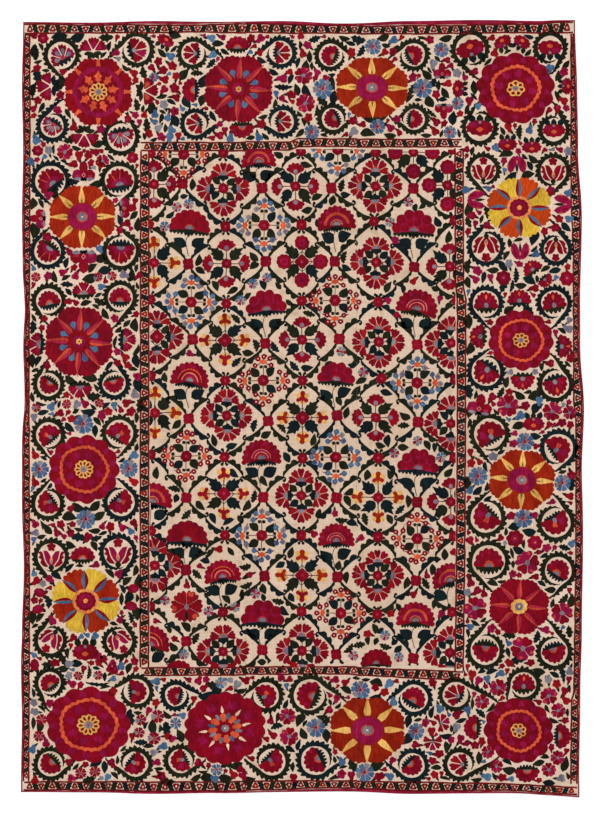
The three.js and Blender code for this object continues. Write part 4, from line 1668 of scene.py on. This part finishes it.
# Each cell: across, down and the kind of its four flowers.
P, O, R, T = "palmette", "poppy", "rose", "trefoil"
CELLS = [
    (154, 184, O), (223.3, 188.2, P), (295.5, 186.7, O), (375.5, 186, P), (447.5, 185, R), (413.3, 152, R),
    (154, 262.5, T), (226.4, 263.3, O), (302, 262, "framed rose"), (376.2, 262, P), (449.7, 266.2, O),
    (157, 336.3, "framed palmette"), (225, 340, "framed trefoil"), (302, 340, O), (378.8, 341.8, P),
    (451, 343, P), (155, 412.5, T), (226.8, 415.3, P), (302.5, 418, "framed trefoil"), (375.8, 417.3, O),
    (451, 423.3, P), (223.8, 493.5, "framed trefoil"), (301.3, 496, P), (378.2, 497, T), (450.8, 501.3, O),
    (155, 565, P), (302, 575.5, "framed trefoil"), (377.8, 575.3, P), (223, 651, P), (302, 651, P),
    (450, 652.5, P),
]


def sew_flower_cells():
    for place, kind in charted(CELLS):
        flower_cell(place, kind.split()[-1], kind.startswith("framed"))


sew_flower_cells()
print("after the flower cells:", len(sewn), "patches")

# %% [markdown]
# Between them come the large single flowers, on a curved stem with two leaves, and the posies, which are
# four clusters of dots round a red rose. Some posies are blue with orange hearts, and some are all small
# red rings.

# %% Single flowers
ARCS = [
    ((11.8, 12.9, "orange"), (7.8, 9.0, "apricot")),
    ((10.2, 13.2, "ember"), (5.4, 6.2, "apricot")),
    ((9.4, 10.2, "rose"), (6.6, 7.4, "apricot")),
]


def carnation(base, kind, width, tilt, arcs):
    """A large half-round flower on a stem, its root at the base."""
    motif = Motif(base, tilt + hand.uniform(-3, 3), width / 41, width / 41)
    boat, droop = 19.8, 3.6
    if kind == "bubbly":
        bubbly_carnation(motif)
    elif kind == "rainbow":
        boat, droop = 14.5, 5.8
        rainbow_carnation(motif, ARCS[arcs])
    else:
        motif.fill(PETAL, "crimson", half_round(20.8, 9, 0.08, 0.96, 194), 7)
        for degrees in (-50, -8, 35):
            motif.fill(MARK, "wine", wedge(6, 16.5, degrees, 8, 11, 2, 0.1))
    motif.band(HEART, "ember", ring(4.2, 5.0, 180, -90, 11))
    motif.fill(HEART, "slate", half_round(4.0, 4, 0.1, 1, 176))
    calyx(motif, boat, 5.4, 11, 0.4, droop)
    calyx(motif, 5.5, 5.0, 3, 2.8)


def carnation_stem(base):
    stem = bow(base + 5j, base - 6 + 11j, base - 3 + 18j, base - 1 + 27j, 10)
    band(LEAF, "stem", *either_side(stem, 0.45))
    leaf(base - 9.5 + 13j, 305, 15.5, 5.8, 0, "teal")
    leaf(base + 8.5 + 12.5j, 58, 15.5, 5.8, 0, "teal")


def rainbow_carnation(motif, arcs):
    motif.fill(PETAL, "crimson", half_round(20.3, 13, 0.09, 1.0, 212), 5)
    for degrees in (-75, -32, 12, 58):
        motif.fill(MARK, "magenta", wedge(14, 18.2, degrees, 6, 8, 1, 0.1))
    arc = polar(1, np.linspace(-88, 88, 25))
    motif.band(MARK, "magenta", (arc * 5.2, arc * 9.6))
    waver = 0.35 * np.cos(np.arange(25) * math.pi)
    for inner, outer, silk in arcs:
        motif.band(HEART, silk, (arc * inner, arc * (outer + waver)))


def bubbly_carnation(motif):
    motif.fill(PETAL, "magenta", half_round(21.4, 6, 0.13, 1.0, 194), 7)
    for distance, count, spread, deep in ((16.8, 6, 194, 4.5), (9.2, 4, 186, 3.7)):
        for i in range(count):
            degrees = (i - (count - 1) / 2) * spread / count
            half = distance * math.sin(math.radians(spread / count / 2)) - 0.15
            motif.fill(MARK, "crimson", polar(1, degrees) * oval(deep, half, distance, 14))


def wheel_flower(place):
    """Six petals in two reds, some tipped with orange, round a long grey heart."""
    motif = Motif(place)
    for i, silk in enumerate(("madder", "wine", "crimson", "crimson", "wine", "madder")):
        degrees = 60 * i + 28
        motif.fill(PETAL, silk, wedge(1, 16.5, degrees, 29, 29.6, 3, 0.12))
        if i in (0, 2, 4):
            motif.fill(MARK, "ember", wedge(10.5, 15.6, degrees - 8, 12, 15, 2, 0.12))
    motif.fill(HEART, "slate", oval(3.2, 2.2, -0.5, 9))
    motif.band(HEART, "green", blade(-3.4, -14, 2.0, 0.6))


CLUSTER_PLACES = [-3.4 - 8.2j, 3.0 - 5.4j, 5.3 + 0.6j, 3.0 + 6.4j, -3.6 + 8.0j]


def cluster(place, facing, kind):
    """An orange heart with five small flowers beyond it and two leaves behind."""
    motif = Motif(place, facing)
    for spot in CLUSTER_PLACES:
        spot = spot + hand.uniform(-0.6, 0.6) + 1j * hand.uniform(-0.6, 0.6)
        spoke = "crimson" if kind == "blue" else hand.choice(("slate", "crimson"))
        bend = 2.6j * hand.choice((-1, 1))
        motif.band(LEAF, spoke, blade(spot * 0.2, spot * 1.35 + bend, 0.9, 0.6, steps=5))
        motif.band(LEAF, "green", blade(spot * 0.2, spot * 1.3 - 0.6, 0.5, 0.6, steps=4))
        if kind == "blue":
            motif.fill(PETAL, hand.choice(("blue", "slate", "blue")), scalloped(2.9, 4, 0.15, middle=spot))
            motif.fill(MARK, hand.choice(("crimson", "slate")), oval(0.9, middle=spot, count=5))
        else:
            motif.fill(PETAL, "crimson", scalloped(2.8, 5, 0.1, 0, spot))
            motif.fill(MARK, "cream", oval(0.8, middle=spot, count=6))
    motif.fill(PETAL, "orange", scalloped(2.8, 6, 0.3, across=4.2))
    for side in (-1, 1):
        motif.band(LEAF, "green", blade(-3.6 + 0.8j * side, -6.6 + 3.6j * side, 1.8, 0.5, steps=5))


def posy(place, kind):
    for facing in FOUR_WAYS:
        reach = 18.7 + hand.uniform(-0.7, 0.7)
        cluster(place + heading(facing) * reach, facing, kind)
        band(LEAF, "stem", *either_side(np.linspace(place, place + heading(facing) * reach * 0.8, 4), 0.45))
        leaf(place + heading(facing + 45) * 11.6, facing + 45 + hand.uniform(-20, 20), 12.2, 4.3)
    motif = Motif(place, hand.uniform(0, 60))
    motif.fill(PETAL, "crimson", scalloped(6.0, 6, 0.12))
    motif.fill(MARK, "rose_red", scalloped(1.9, 5, 0.2))


BLUE_POSIES = "264 225.6, 191.2 301.7, 417.2 382.5, 335.8 457.5, 261.7 535.8, 337.8 150"
RING_POSIES = "183.7 154, 335 300.8, 263.3 380.8, 186.2 455.8, 417.2 538.3, 340.8 613.3"
WHEEL_PLACE = 186.7 + 606j
# Each carnation: across, down, kind, width, tilt and which of the arcs it has.
CARNATIONS = [
    (189.5, 229, "plain", 41.5, 4, 0), (413.8, 231, "bubbly", 42.5, 2, 0),
    (336.7, 225.5, "rainbow", 40, -4, 1), (258.7, 163, "rainbow", 36, 0, 1),
    (266.5, 310.5, "bubbly", 40, -4, 0), (416.5, 309.5, "rainbow", 43, 12, 2),
    (189.5, 381, "rainbow", 40, 6, 0), (336, 381, "bubbly", 37.5, 2, 0), (261.5, 459.5, "rainbow", 41, 0, 2),
    (417.8, 469, "bubbly", 41, 4, 0), (152.5, 502, "rainbow", 41, 5, 1), (187, 540.5, "plain", 42.5, 2, 0),
    (336.2, 542, "rainbow", 38, 0, 2), (222.8, 577.5, "rainbow", 38, -3, 0),
    (450.5, 581, "rainbow", 38, -12, 1), (262.4, 622, "bubbly", 43, 0, 0), (415.4, 621, "rainbow", 40, 0, 1),
    (150, 645, "rainbow", 41, 4, 0), (376.2, 663.5, "plain", 31, 0, 0), (178.5, 674, "plain", 30, 0, 0),
]
FIELD_PINWHEELS = """
177 206.7, 188.7 203.8, 164.7 226, 408.3 201.7, 390 221.7, 253 284, 267 278, 240.8 300, 341.3 352, 363 372,
417.5 440.5, 394 453, 441 457, 208.7 611, 165 600, 235 607, 255.5 594, 353.3 656, 399 657, 385 635, 184 654
"""
FIELD_BUDS = """
190 353, 219 549, 200 565.8, 250 575, 335 514, 313.7 534, 360.5 537.5, 413.3 281, 397 315, 440 298, 390.5 613,
441 613.5, 187 585, 367.5 633.5, 174.5 638.5, 156 620.5, 454 552, 427 575, 413.5 594, 395 240, 388 300
"""
FIELD_LEAVES = """
184 196, 170 214, 207 208, 422 205, 278 286, 248 297, 290 303, 416 208, 320 514, 318 224, 246 575, 211 553,
231 551, 243 595, 192 524, 240 519, 263 598, 398 607, 434 604, 380 630, 376 641, 395 642, 401 636, 369 640,
164 588, 208 594, 169 629, 404 560, 437 559, 328 365, 356 362, 434 447, 402 288, 436 288, 173 657, 352 365
"""


def sew_single_flowers():
    for text, kind in ((BLUE_POSIES, "blue"), (RING_POSIES, "ring")):
        for place in places(text):
            posy(place, kind)
    for base, *how in charted(CARNATIONS):
        carnation_stem(base)
        carnation(base, *how)
    wheel_flower(WHEEL_PLACE)
    for place in places(FIELD_PINWHEELS):
        pinwheel(place, 5.4, IN_BLUES, 27)
    for place in places(FIELD_BUDS):
        bud(place, hand.choice(("crimson", "madder", "magenta")), hand.uniform(3.2, 4.2))
    for place in places(FIELD_LEAVES):
        leaf(place, hand.uniform(0, 360), hand.uniform(8.5, 11.5), 2.7)


sew_single_flowers()
cut_edge["box"] = None
print("after the field:", len(sewn), "patches")

# %% [markdown]
# ## Filling the gaps
# An embroiderer leaves hardly any cloth bare. Whatever gap is left gets one more leaf or bud, just large
# enough to leave a thin line of cloth round it. The same is done here: a fine raster of what is sewn shows
# the widest gap, a leaf is laid in it the way that the gap runs, and so on until no gap is wider than a
# stitch or two.

# %% How far each place is from anything sewn
CELLS_PER_UNIT = 2
RASTER_SHAPE = (602 * CELLS_PER_UNIT, 818 * CELLS_PER_UNIT)
FAR_CELLS = 18


def outline_of(first, second):
    return first if second is None else np.concatenate([first, second[::-1]])


def covered_cells(outline):
    """The raster cells inside an outline, as a box of cells and which of them are in."""
    edge = outline * CELLS_PER_UNIT
    low_x, low_y = int(edge.real.min()), int(edge.imag.min())
    wide = int(edge.real.max()) - low_x + 2
    tall = int(edge.imag.max()) - low_y + 2
    x = np.arange(low_x, low_x + wide)[:, None]
    y = np.arange(low_y, low_y + tall)[None, :]
    within = np.zeros((wide, tall), bool)
    for a, b in zip(edge, np.roll(edge, -1)):
        if a.imag == b.imag:
            continue
        between = (y >= min(a.imag, b.imag)) & (y < max(a.imag, b.imag))
        crossing = a.real + (y - a.imag) * (b.real - a.real) / (b.imag - a.imag)
        within ^= between & (x < crossing)
    return low_x, low_y, within


def raster_of_sewn():
    sewn_cells = np.zeros(RASTER_SHAPE, bool)
    for _, _, first, second, _, _ in sewn:
        low_x, low_y, within = covered_cells(outline_of(first, second))
        if low_x < 0 or low_y < 0:
            continue
        part = sewn_cells[low_x:low_x + within.shape[0], low_y:low_y + within.shape[1]]
        part |= within[:part.shape[0], :part.shape[1]]
    for middle, reach in kept_clear:
        low_x, low_y, within = covered_cells(middle + oval(reach, count=24))
        sewn_cells[low_x:low_x + within.shape[0], low_y:low_y + within.shape[1]] |= within
    return sewn_cells


def distances(occupied):
    """How many units each cell is from an occupied one, up to a limit."""
    reached = occupied.copy()
    far = np.where(occupied, 0.0, FAR_CELLS / CELLS_PER_UNIT)
    for step in range(1, FAR_CELLS):
        grown = reached.copy()
        grown[1:] |= reached[:-1]
        grown[:-1] |= reached[1:]
        grown[:, 1:] |= reached[:, :-1]
        grown[:, :-1] |= reached[:, 1:]
        if step % 2:
            grown[1:, 1:] |= reached[:-1, :-1]
            grown[:-1, :-1] |= reached[1:, 1:]
            grown[1:, :-1] |= reached[:-1, 1:]
            grown[:-1, 1:] |= reached[1:, :-1]
        far[grown & ~reached] = step / CELLS_PER_UNIT
        reached = grown
    return far


# %% Leaves and buds for the gaps
NARROWEST_GAP = 2.7
FIELD_NARROWEST = 4.4
LONG_GAP = 2.7
BARE_LINE = 1.15
WIDEST_HALF = 3.6
NARROWEST_HALF = 1.2
WIDEST_BUD = 4.4
LONGEST_FILLER = 14
LONG_ENOUGH_FOR_TEETH = 13.5
MOST_FILLERS = 2500


def free_run(far, place, direction):
    """How far a line can go from a place before it comes near something sewn."""
    for step in range(1, LONGEST_FILLER * CELLS_PER_UNIT // 2 + 2):
        here = (place + direction * step / CELLS_PER_UNIT) * CELLS_PER_UNIT
        x, y = int(here.real), int(here.imag)
        if not (0 <= x < far.shape[0] and 0 <= y < far.shape[1]) or far[x, y] < BARE_LINE:
            return step / CELLS_PER_UNIT
    return LONGEST_FILLER / 2


def claim(far, root, tip, half_width):
    """Lowers the distances round a new leaf from root to tip."""
    middle = (root + tip) / 2 * CELLS_PER_UNIT
    reach = int((abs(tip - root) / 2 + 10) * CELLS_PER_UNIT)
    x = np.arange(max(0, int(middle.real) - reach), min(far.shape[0], int(middle.real) + reach))
    y = np.arange(max(0, int(middle.imag) - reach), min(far.shape[1], int(middle.imag) + reach))
    cells = (x[:, None] + 1j * y[None, :]) / CELLS_PER_UNIT
    along = np.clip(((cells - root) / (tip - root)).real, 0.12, 0.88)
    new = np.abs(cells - root - along * (tip - root)) - half_width * np.sin(math.pi * along)
    box = np.ix_(x, y)
    far[box] = np.minimum(far[box], np.maximum(new, 0))


def fill_gaps(allowed, narrowest, bud_share, silks_of_buds):
    """Lays leaves and buds where the raster of allowed cells has gaps."""
    far = distances(raster_of_sewn()) * allowed
    count = 0
    while count < MOST_FILLERS:
        i, j = np.unravel_index(far.argmax(), far.shape)
        widest = far[i, j]
        if widest < narrowest:
            break
        place = (i + 1j * j) / CELLS_PER_UNIT
        best = max((heading(15 * k) for k in range(12)),
                   key=lambda way: free_run(far, place, way) + free_run(far, place, -way))
        ahead, behind = free_run(far, place, best), free_run(far, place, -best)
        length = ahead + behind - 0.8
        middle = place + best * (ahead - behind) / 2
        half_width = max(min(widest - BARE_LINE, WIDEST_HALF), NARROWEST_HALF)
        if bud_share and (length < LONG_GAP * widest or hand.random() < bud_share):
            reach = min(widest - BARE_LINE + 0.4, WIDEST_BUD)
            bud(place, hand.choice(silks_of_buds), reach, heading_of(best))
            claim(far, place - best * reach, place + best * reach, reach)
        else:
            length = min(length, LONGEST_FILLER)
            teeth = 4 if length > LONG_ENOUGH_FOR_TEETH else 0
            leaf(middle, heading_of(best) + hand.choice((0, 180)), length, half_width, teeth)
            claim(far, middle - best * length / 2, middle + best * length / 2, half_width + 0.3)
        far[max(0, i - 2):i + 3, max(0, j - 2):j + 3] = 0
        count += 1
    return count


def cells_between(left, right, top, bottom):
    """A raster that is true between four lines of the chart."""
    cells = np.zeros(RASTER_SHAPE, bool)
    cells[left * CELLS_PER_UNIT:right * CELLS_PER_UNIT, top * CELLS_PER_UNIT:bottom * CELLS_PER_UNIT] = True
    return cells


border = cells_between(31, 571, 34, 781) & ~cells_between(139, 464, 140, 678)
field = cells_between(151, 454, 151, 666)
in_border = fill_gaps(border, NARROWEST_GAP, 0.15, ("crimson", "madder", "magenta", "crimson", "blue"))
in_field = fill_gaps(field, FIELD_NARROWEST, 0, ())
print(in_border, "leaves and buds fill the border and", in_field, "the field;", len(sewn), "patches in all")

# %% [markdown]
# ## Sewing the silk on
# Now each patch becomes a low block of silk on the cloth, with sloping sides and a top a fraction of a
# millimetre up. Petals stand on leaves, marks on petals and hearts on marks. The old makers embroidered each
# width of cloth by itself, so each panel gets its own four layers, cut off at its seams. That is also why
# lines break a little where two panels meet: each panel's pattern has slipped by a millimetre or two.

# %% From patches to blocks
RELIEF = [0.00035, 0.0006, 0.00085, 0.0011, 0.0013, 0.0015, 0.0017]
SUNK = 0.0002
WALL = 0.12
MOST_INSET = 0.4
END_INSET = 0.15
RING_STEP = 6.5
SWAYS = [(0.31, 0.17, 0.13, 0.4), (-0.12, 0.27, 0.16, 1.9), (0.55, -0.42, 0.09, 3.1), (0.9, 1.1, 0.05, 5.2)]


def by_hand(points):
    """Places moved a little, as no hand draws quite true."""
    moved = points.copy()
    for across, down, reach, phase in SWAYS:
        swing = across * points.real + down * points.imag + phase
        moved = moved + reach * (np.sin(swing) + 1j * np.cos(swing * 0.83 + 1))
    return moved


def signed_area(outline):
    return float((outline.real * np.roll(outline.imag, -1) - np.roll(outline.real, -1) * outline.imag).sum())


def band_block(left, right):
    """Points, whether each is on top, and the faces of a band of silk."""
    if signed_area(np.concatenate([left, right[::-1]])) < 0:
        left, right = right, left
    count = len(left)
    inset = np.minimum(MOST_INSET, WALL / np.maximum(np.abs(right - left), 0.01))
    tops = [left + (right - left) * inset, right + (left - right) * inset]
    for top in tops:
        top[0] += (top[1] - top[0]) * END_INSET
        top[-1] += (top[-2] - top[-1]) * END_INSET
    points = np.concatenate([*tops, left, right])
    on_top = np.arange(len(points)) < 2 * count
    i = np.arange(count - 1)
    a, b, c, d = i, i + count, i + 2 * count, i + 3 * count
    quads = np.concatenate([
        np.stack([a, a + 1, b + 1, b], -1),
        np.stack([c, c + 1, a + 1, a], -1),
        np.stack([b, b + 1, d + 1, d], -1),
        [[2 * count, 0, count, 3 * count], [count - 1, 3 * count - 1, 4 * count - 1, 2 * count - 1]],
    ])
    return points, on_top, quads, np.zeros((0, 3), int)


def fill_block(outline, heart):
    """Points, whether each is on top, and the faces of a round patch of silk."""
    if signed_area(outline) > 0:
        outline = outline[::-1]
    count = len(outline)
    reach = float(np.abs(outline - heart).mean())
    first = 1 - min(MOST_INSET, WALL / max(reach, 0.01))
    inner = max(0, int(reach / RING_STEP))
    sizes = np.linspace(first, 0, inner + 2)[:-1]
    rings = [heart + (outline - heart) * size for size in sizes]
    points = np.concatenate([outline, *rings, [heart]])
    on_top = np.arange(len(points)) >= count
    i = np.arange(count)
    after = (i + 1) % count
    quads = [np.stack([i + k * count, i + (k + 1) * count, after + (k + 1) * count, after + k * count], -1)
             for k in range(len(sizes))]
    last = len(sizes) * count
    middle = np.full(count, len(points) - 1)
    triangles = np.stack([i + last, middle, after + last], -1)
    return points, on_top, np.concatenate(quads), triangles


# %% One layer of one panel
# How far each seam is moved in, in metres, and how far each panel's pattern has slipped, in chart units.
SEAM_DRAWN_IN = [0, -0.0001, -0.00014, 0.00005, -0.0001]
PANEL_SLIPS = [0, 0.35, -0.3, 0.3, -0.2]
HALVES = 2
FOLD_MARGIN = 0.13
LAYER_NAMES = ["leaves", "petals", "marks", "hearts"]


def read_all(items, what, kind=int, count=1):
    """One property of every vertex, corner or face, as an array."""
    values = np.zeros(len(items) * count, kind)
    items.foreach_get(what, values)
    return values


def seam_sway(panel, x, y):
    """How far each seam of a panel is from straight, at places on the cloth."""
    grid = grids[PANELS[panel]]
    sides = []
    for column, outermost in ((0, panel == 0), (-1, panel == len(PANELS) - 1)):
        seam = grid[column]
        sway = 0 * y if outermost else np.interp(y, seam[:, 1], seam[:, 0]) - seam[:, 0].mean()
        sides.append(sway)
    low, high = grid[0, :, 0].mean(), grid[-1, :, 0].mean()
    share = np.clip((x - low) / (high - low), 0, 1)
    if panel == 0:
        return sides[1]
    if panel == len(PANELS) - 1:
        return sides[0]
    return sides[0] * (1 - share) + sides[1] * share


def seams_of(panel):
    """Where a panel's silk is cut off, or None at a side of the cloth."""
    grid = grids[PANELS[panel]]
    low = None if panel == 0 else float(grid[0, :, 0].mean()) + SEAM_DRAWN_IN[panel]
    high = None if panel == len(PANELS) - 1 else float(grid[-1, :, 0].mean()) - SEAM_DRAWN_IN[panel + 1]
    return low, high


def patches_on(panel, layer):
    low, high = seams_of(panel)
    low = -np.inf if low is None else low
    high = np.inf if high is None else high
    for of_layer, silk, first, second, heart, skein in sewn:
        if min(of_layer, HEART) != layer:
            continue
        both = first if second is None else np.concatenate([first, second])
        x, _ = on_cloth(both)
        if x.max() > low and x.min() < high:
            yield RELIEF[of_layer], silk, first, second, heart, skein


def cut_at_seams(mesh, low, high):
    """Cuts off the silk beyond a panel's seams."""
    shape = bmesh.new()
    shape.from_mesh(mesh)
    for place, outward in ((low, -1), (high, 1)):
        if place is None:
            continue
        everything = shape.verts[:] + shape.edges[:] + shape.faces[:]
        bmesh.ops.bisect_plane(shape, geom=everything, plane_co=(place, 0, 0), plane_no=(outward, 0, 0),
                               clear_outer=True)
    shape.to_mesh(mesh)
    shape.free()


def lay_flat(mesh, halves):
    """A map of the silk for baked colours: its plan, with the upper and lower half side by side."""
    places = read_all(mesh.vertices, "co", float, 3).reshape(-1, 3)
    corners = read_all(mesh.loops, "vertex_index")
    per_face = read_all(mesh.polygons, "loop_total")
    half = np.repeat(halves, per_face)
    x, y = places[corners, 0], places[corners, 1]
    low, high = places[:, 0].min(), places[:, 0].max()
    reach = MAP_REACH[1] + FOLD_MARGIN
    across = ((x - low) / (high - low) + half) / HALVES
    along = (y + FOLD_MARGIN + np.where(half > 0, 0, MAP_REACH[1])) / reach
    flat = mesh.uv_layers.new(name="OFBake")
    flat.data.foreach_set("uv", np.stack([across, along], -1).ravel())


def silk_layer(panel, layer):
    points, heights, faces, tones, skeins, halves = [], [], [], [], [], []
    used = []
    count = 0
    slip = 1j * PANEL_SLIPS[panel]
    for relief, silk, first, second, heart, skein in patches_on(panel, layer):
        if second is None:
            moved = by_hand(np.append(first, heart) + slip)
            block = fill_block(moved[:-1], moved[-1])
        else:
            block = band_block(by_hand(first + slip), by_hand(second + slip))
        plan, on_top, quads, triangles = block
        if silk not in used:
            used.append(silk)
        for group in (quads, triangles):
            faces.extend((group + count).tolist())
        face_count = len(quads) + len(triangles)
        tones.extend([used.index(silk)] * face_count)
        skeins.extend([skein] * face_count)
        halves.extend([int(plan.imag.mean() < CHART_MIDDLE.imag)] * face_count)
        points.append(plan)
        heights.append(np.where(on_top, relief, -SUNK))
        count += len(plan)
    x, y = on_cloth(np.concatenate(points))
    z = lie_at(x, y) + GROUND_BODY + np.concatenate(heights)
    name = f"silk_{LAYER_NAMES[layer]}_{panel + 1}"
    mesh = bpy.data.meshes.new(name)
    mesh.from_pydata(np.stack([x - seam_sway(panel, x, y), y, z], -1).tolist(), [], faces)
    mesh.polygons.foreach_set("material_index", tones)
    mesh.attributes.new("skein", "FLOAT", "FACE").data.foreach_set("value", skeins)
    mesh.attributes.new("half", "INT", "FACE").data.foreach_set("value", halves)
    for silk in used:
        mesh.materials.append(silks[silk])
    cut_at_seams(mesh, *seams_of(panel))
    put_back_sway(mesh, panel)
    lay_flat(mesh, read_all(mesh.attributes["half"].data, "value"))
    mesh.attributes.remove(mesh.attributes["half"])
    piece = into_scene(name, mesh)
    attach(piece, "root")
    return piece


def put_back_sway(mesh, panel):
    places = read_all(mesh.vertices, "co", float, 3).reshape(-1, 3)
    places[:, 0] += seam_sway(panel, places[:, 0], places[:, 1])
    mesh.vertices.foreach_set("co", places.ravel())
    mesh.update()


silk_layers = [[silk_layer(panel, layer) for layer in range(4)] for panel in range(len(PANELS))]
print("faces in each layer:", [[len(piece.data.polygons) for piece in group] for group in silk_layers])

# %% [markdown]


# %% [markdown]
# ## The room
# The cloth was photographed on white under even light. A white floor, an even pale sky and one large soft
# lamp overhead give that, and a second, weaker lamp from one side lets the low silk show its edges.

# %% Floor and lights
FLOOR_REACH = 6
FLOOR_DROP = 0.0005
SKY_STRENGTH = 0.75


def lay_floor():
    mesh = bpy.data.meshes.new("floor")
    plan = ((-1, -1), (1, -1), (1, 1), (-1, 1))
    corners = [(across * FLOOR_REACH, along * FLOOR_REACH, 0) for across, along in plan]
    mesh.from_pydata(corners, [], [(0, 1, 2, 3)])
    finish = Finish("white_floor", 0.9, 0)
    tint = finish.mixed(finish.noise((3, 3, 3)), (0.93, 0.93, 0.93, 1), (0.96, 0.96, 0.96, 1))
    finish.feed(finish.shader, {"Base Color": tint})
    mesh.materials.append(finish.material)
    floor = into_scene("floor", mesh)
    floor.location.z = -FLOOR_DROP


def hang_lamp(name, place, size, power):
    data = bpy.data.lights.new(name, "AREA")
    data.shape = "SQUARE"
    data.size = size
    data.energy = power
    lamp = into_scene(name, data)
    lamp.location = place
    lamp.rotation_euler = (Vector((0, 0, 0)) - Vector(place)).to_track_quat("-Z", "Y").to_euler()


lay_floor()
hang_lamp("lamp_overhead", (0.0, 0.6, 5.0), 3.5, 150)
hang_lamp("lamp_side", (-3.5, 2.5, 3.0), 2.0, 50)
sky = bpy.data.worlds.new("sky")
sky.use_nodes = True
sky.node_tree.nodes["Background"].inputs["Color"].default_value = (1, 1, 1, 1)
sky.node_tree.nodes["Background"].inputs["Strength"].default_value = SKY_STRENGTH
bpy.context.scene.world = sky
bpy.context.scene.view_settings.view_transform = "Standard"
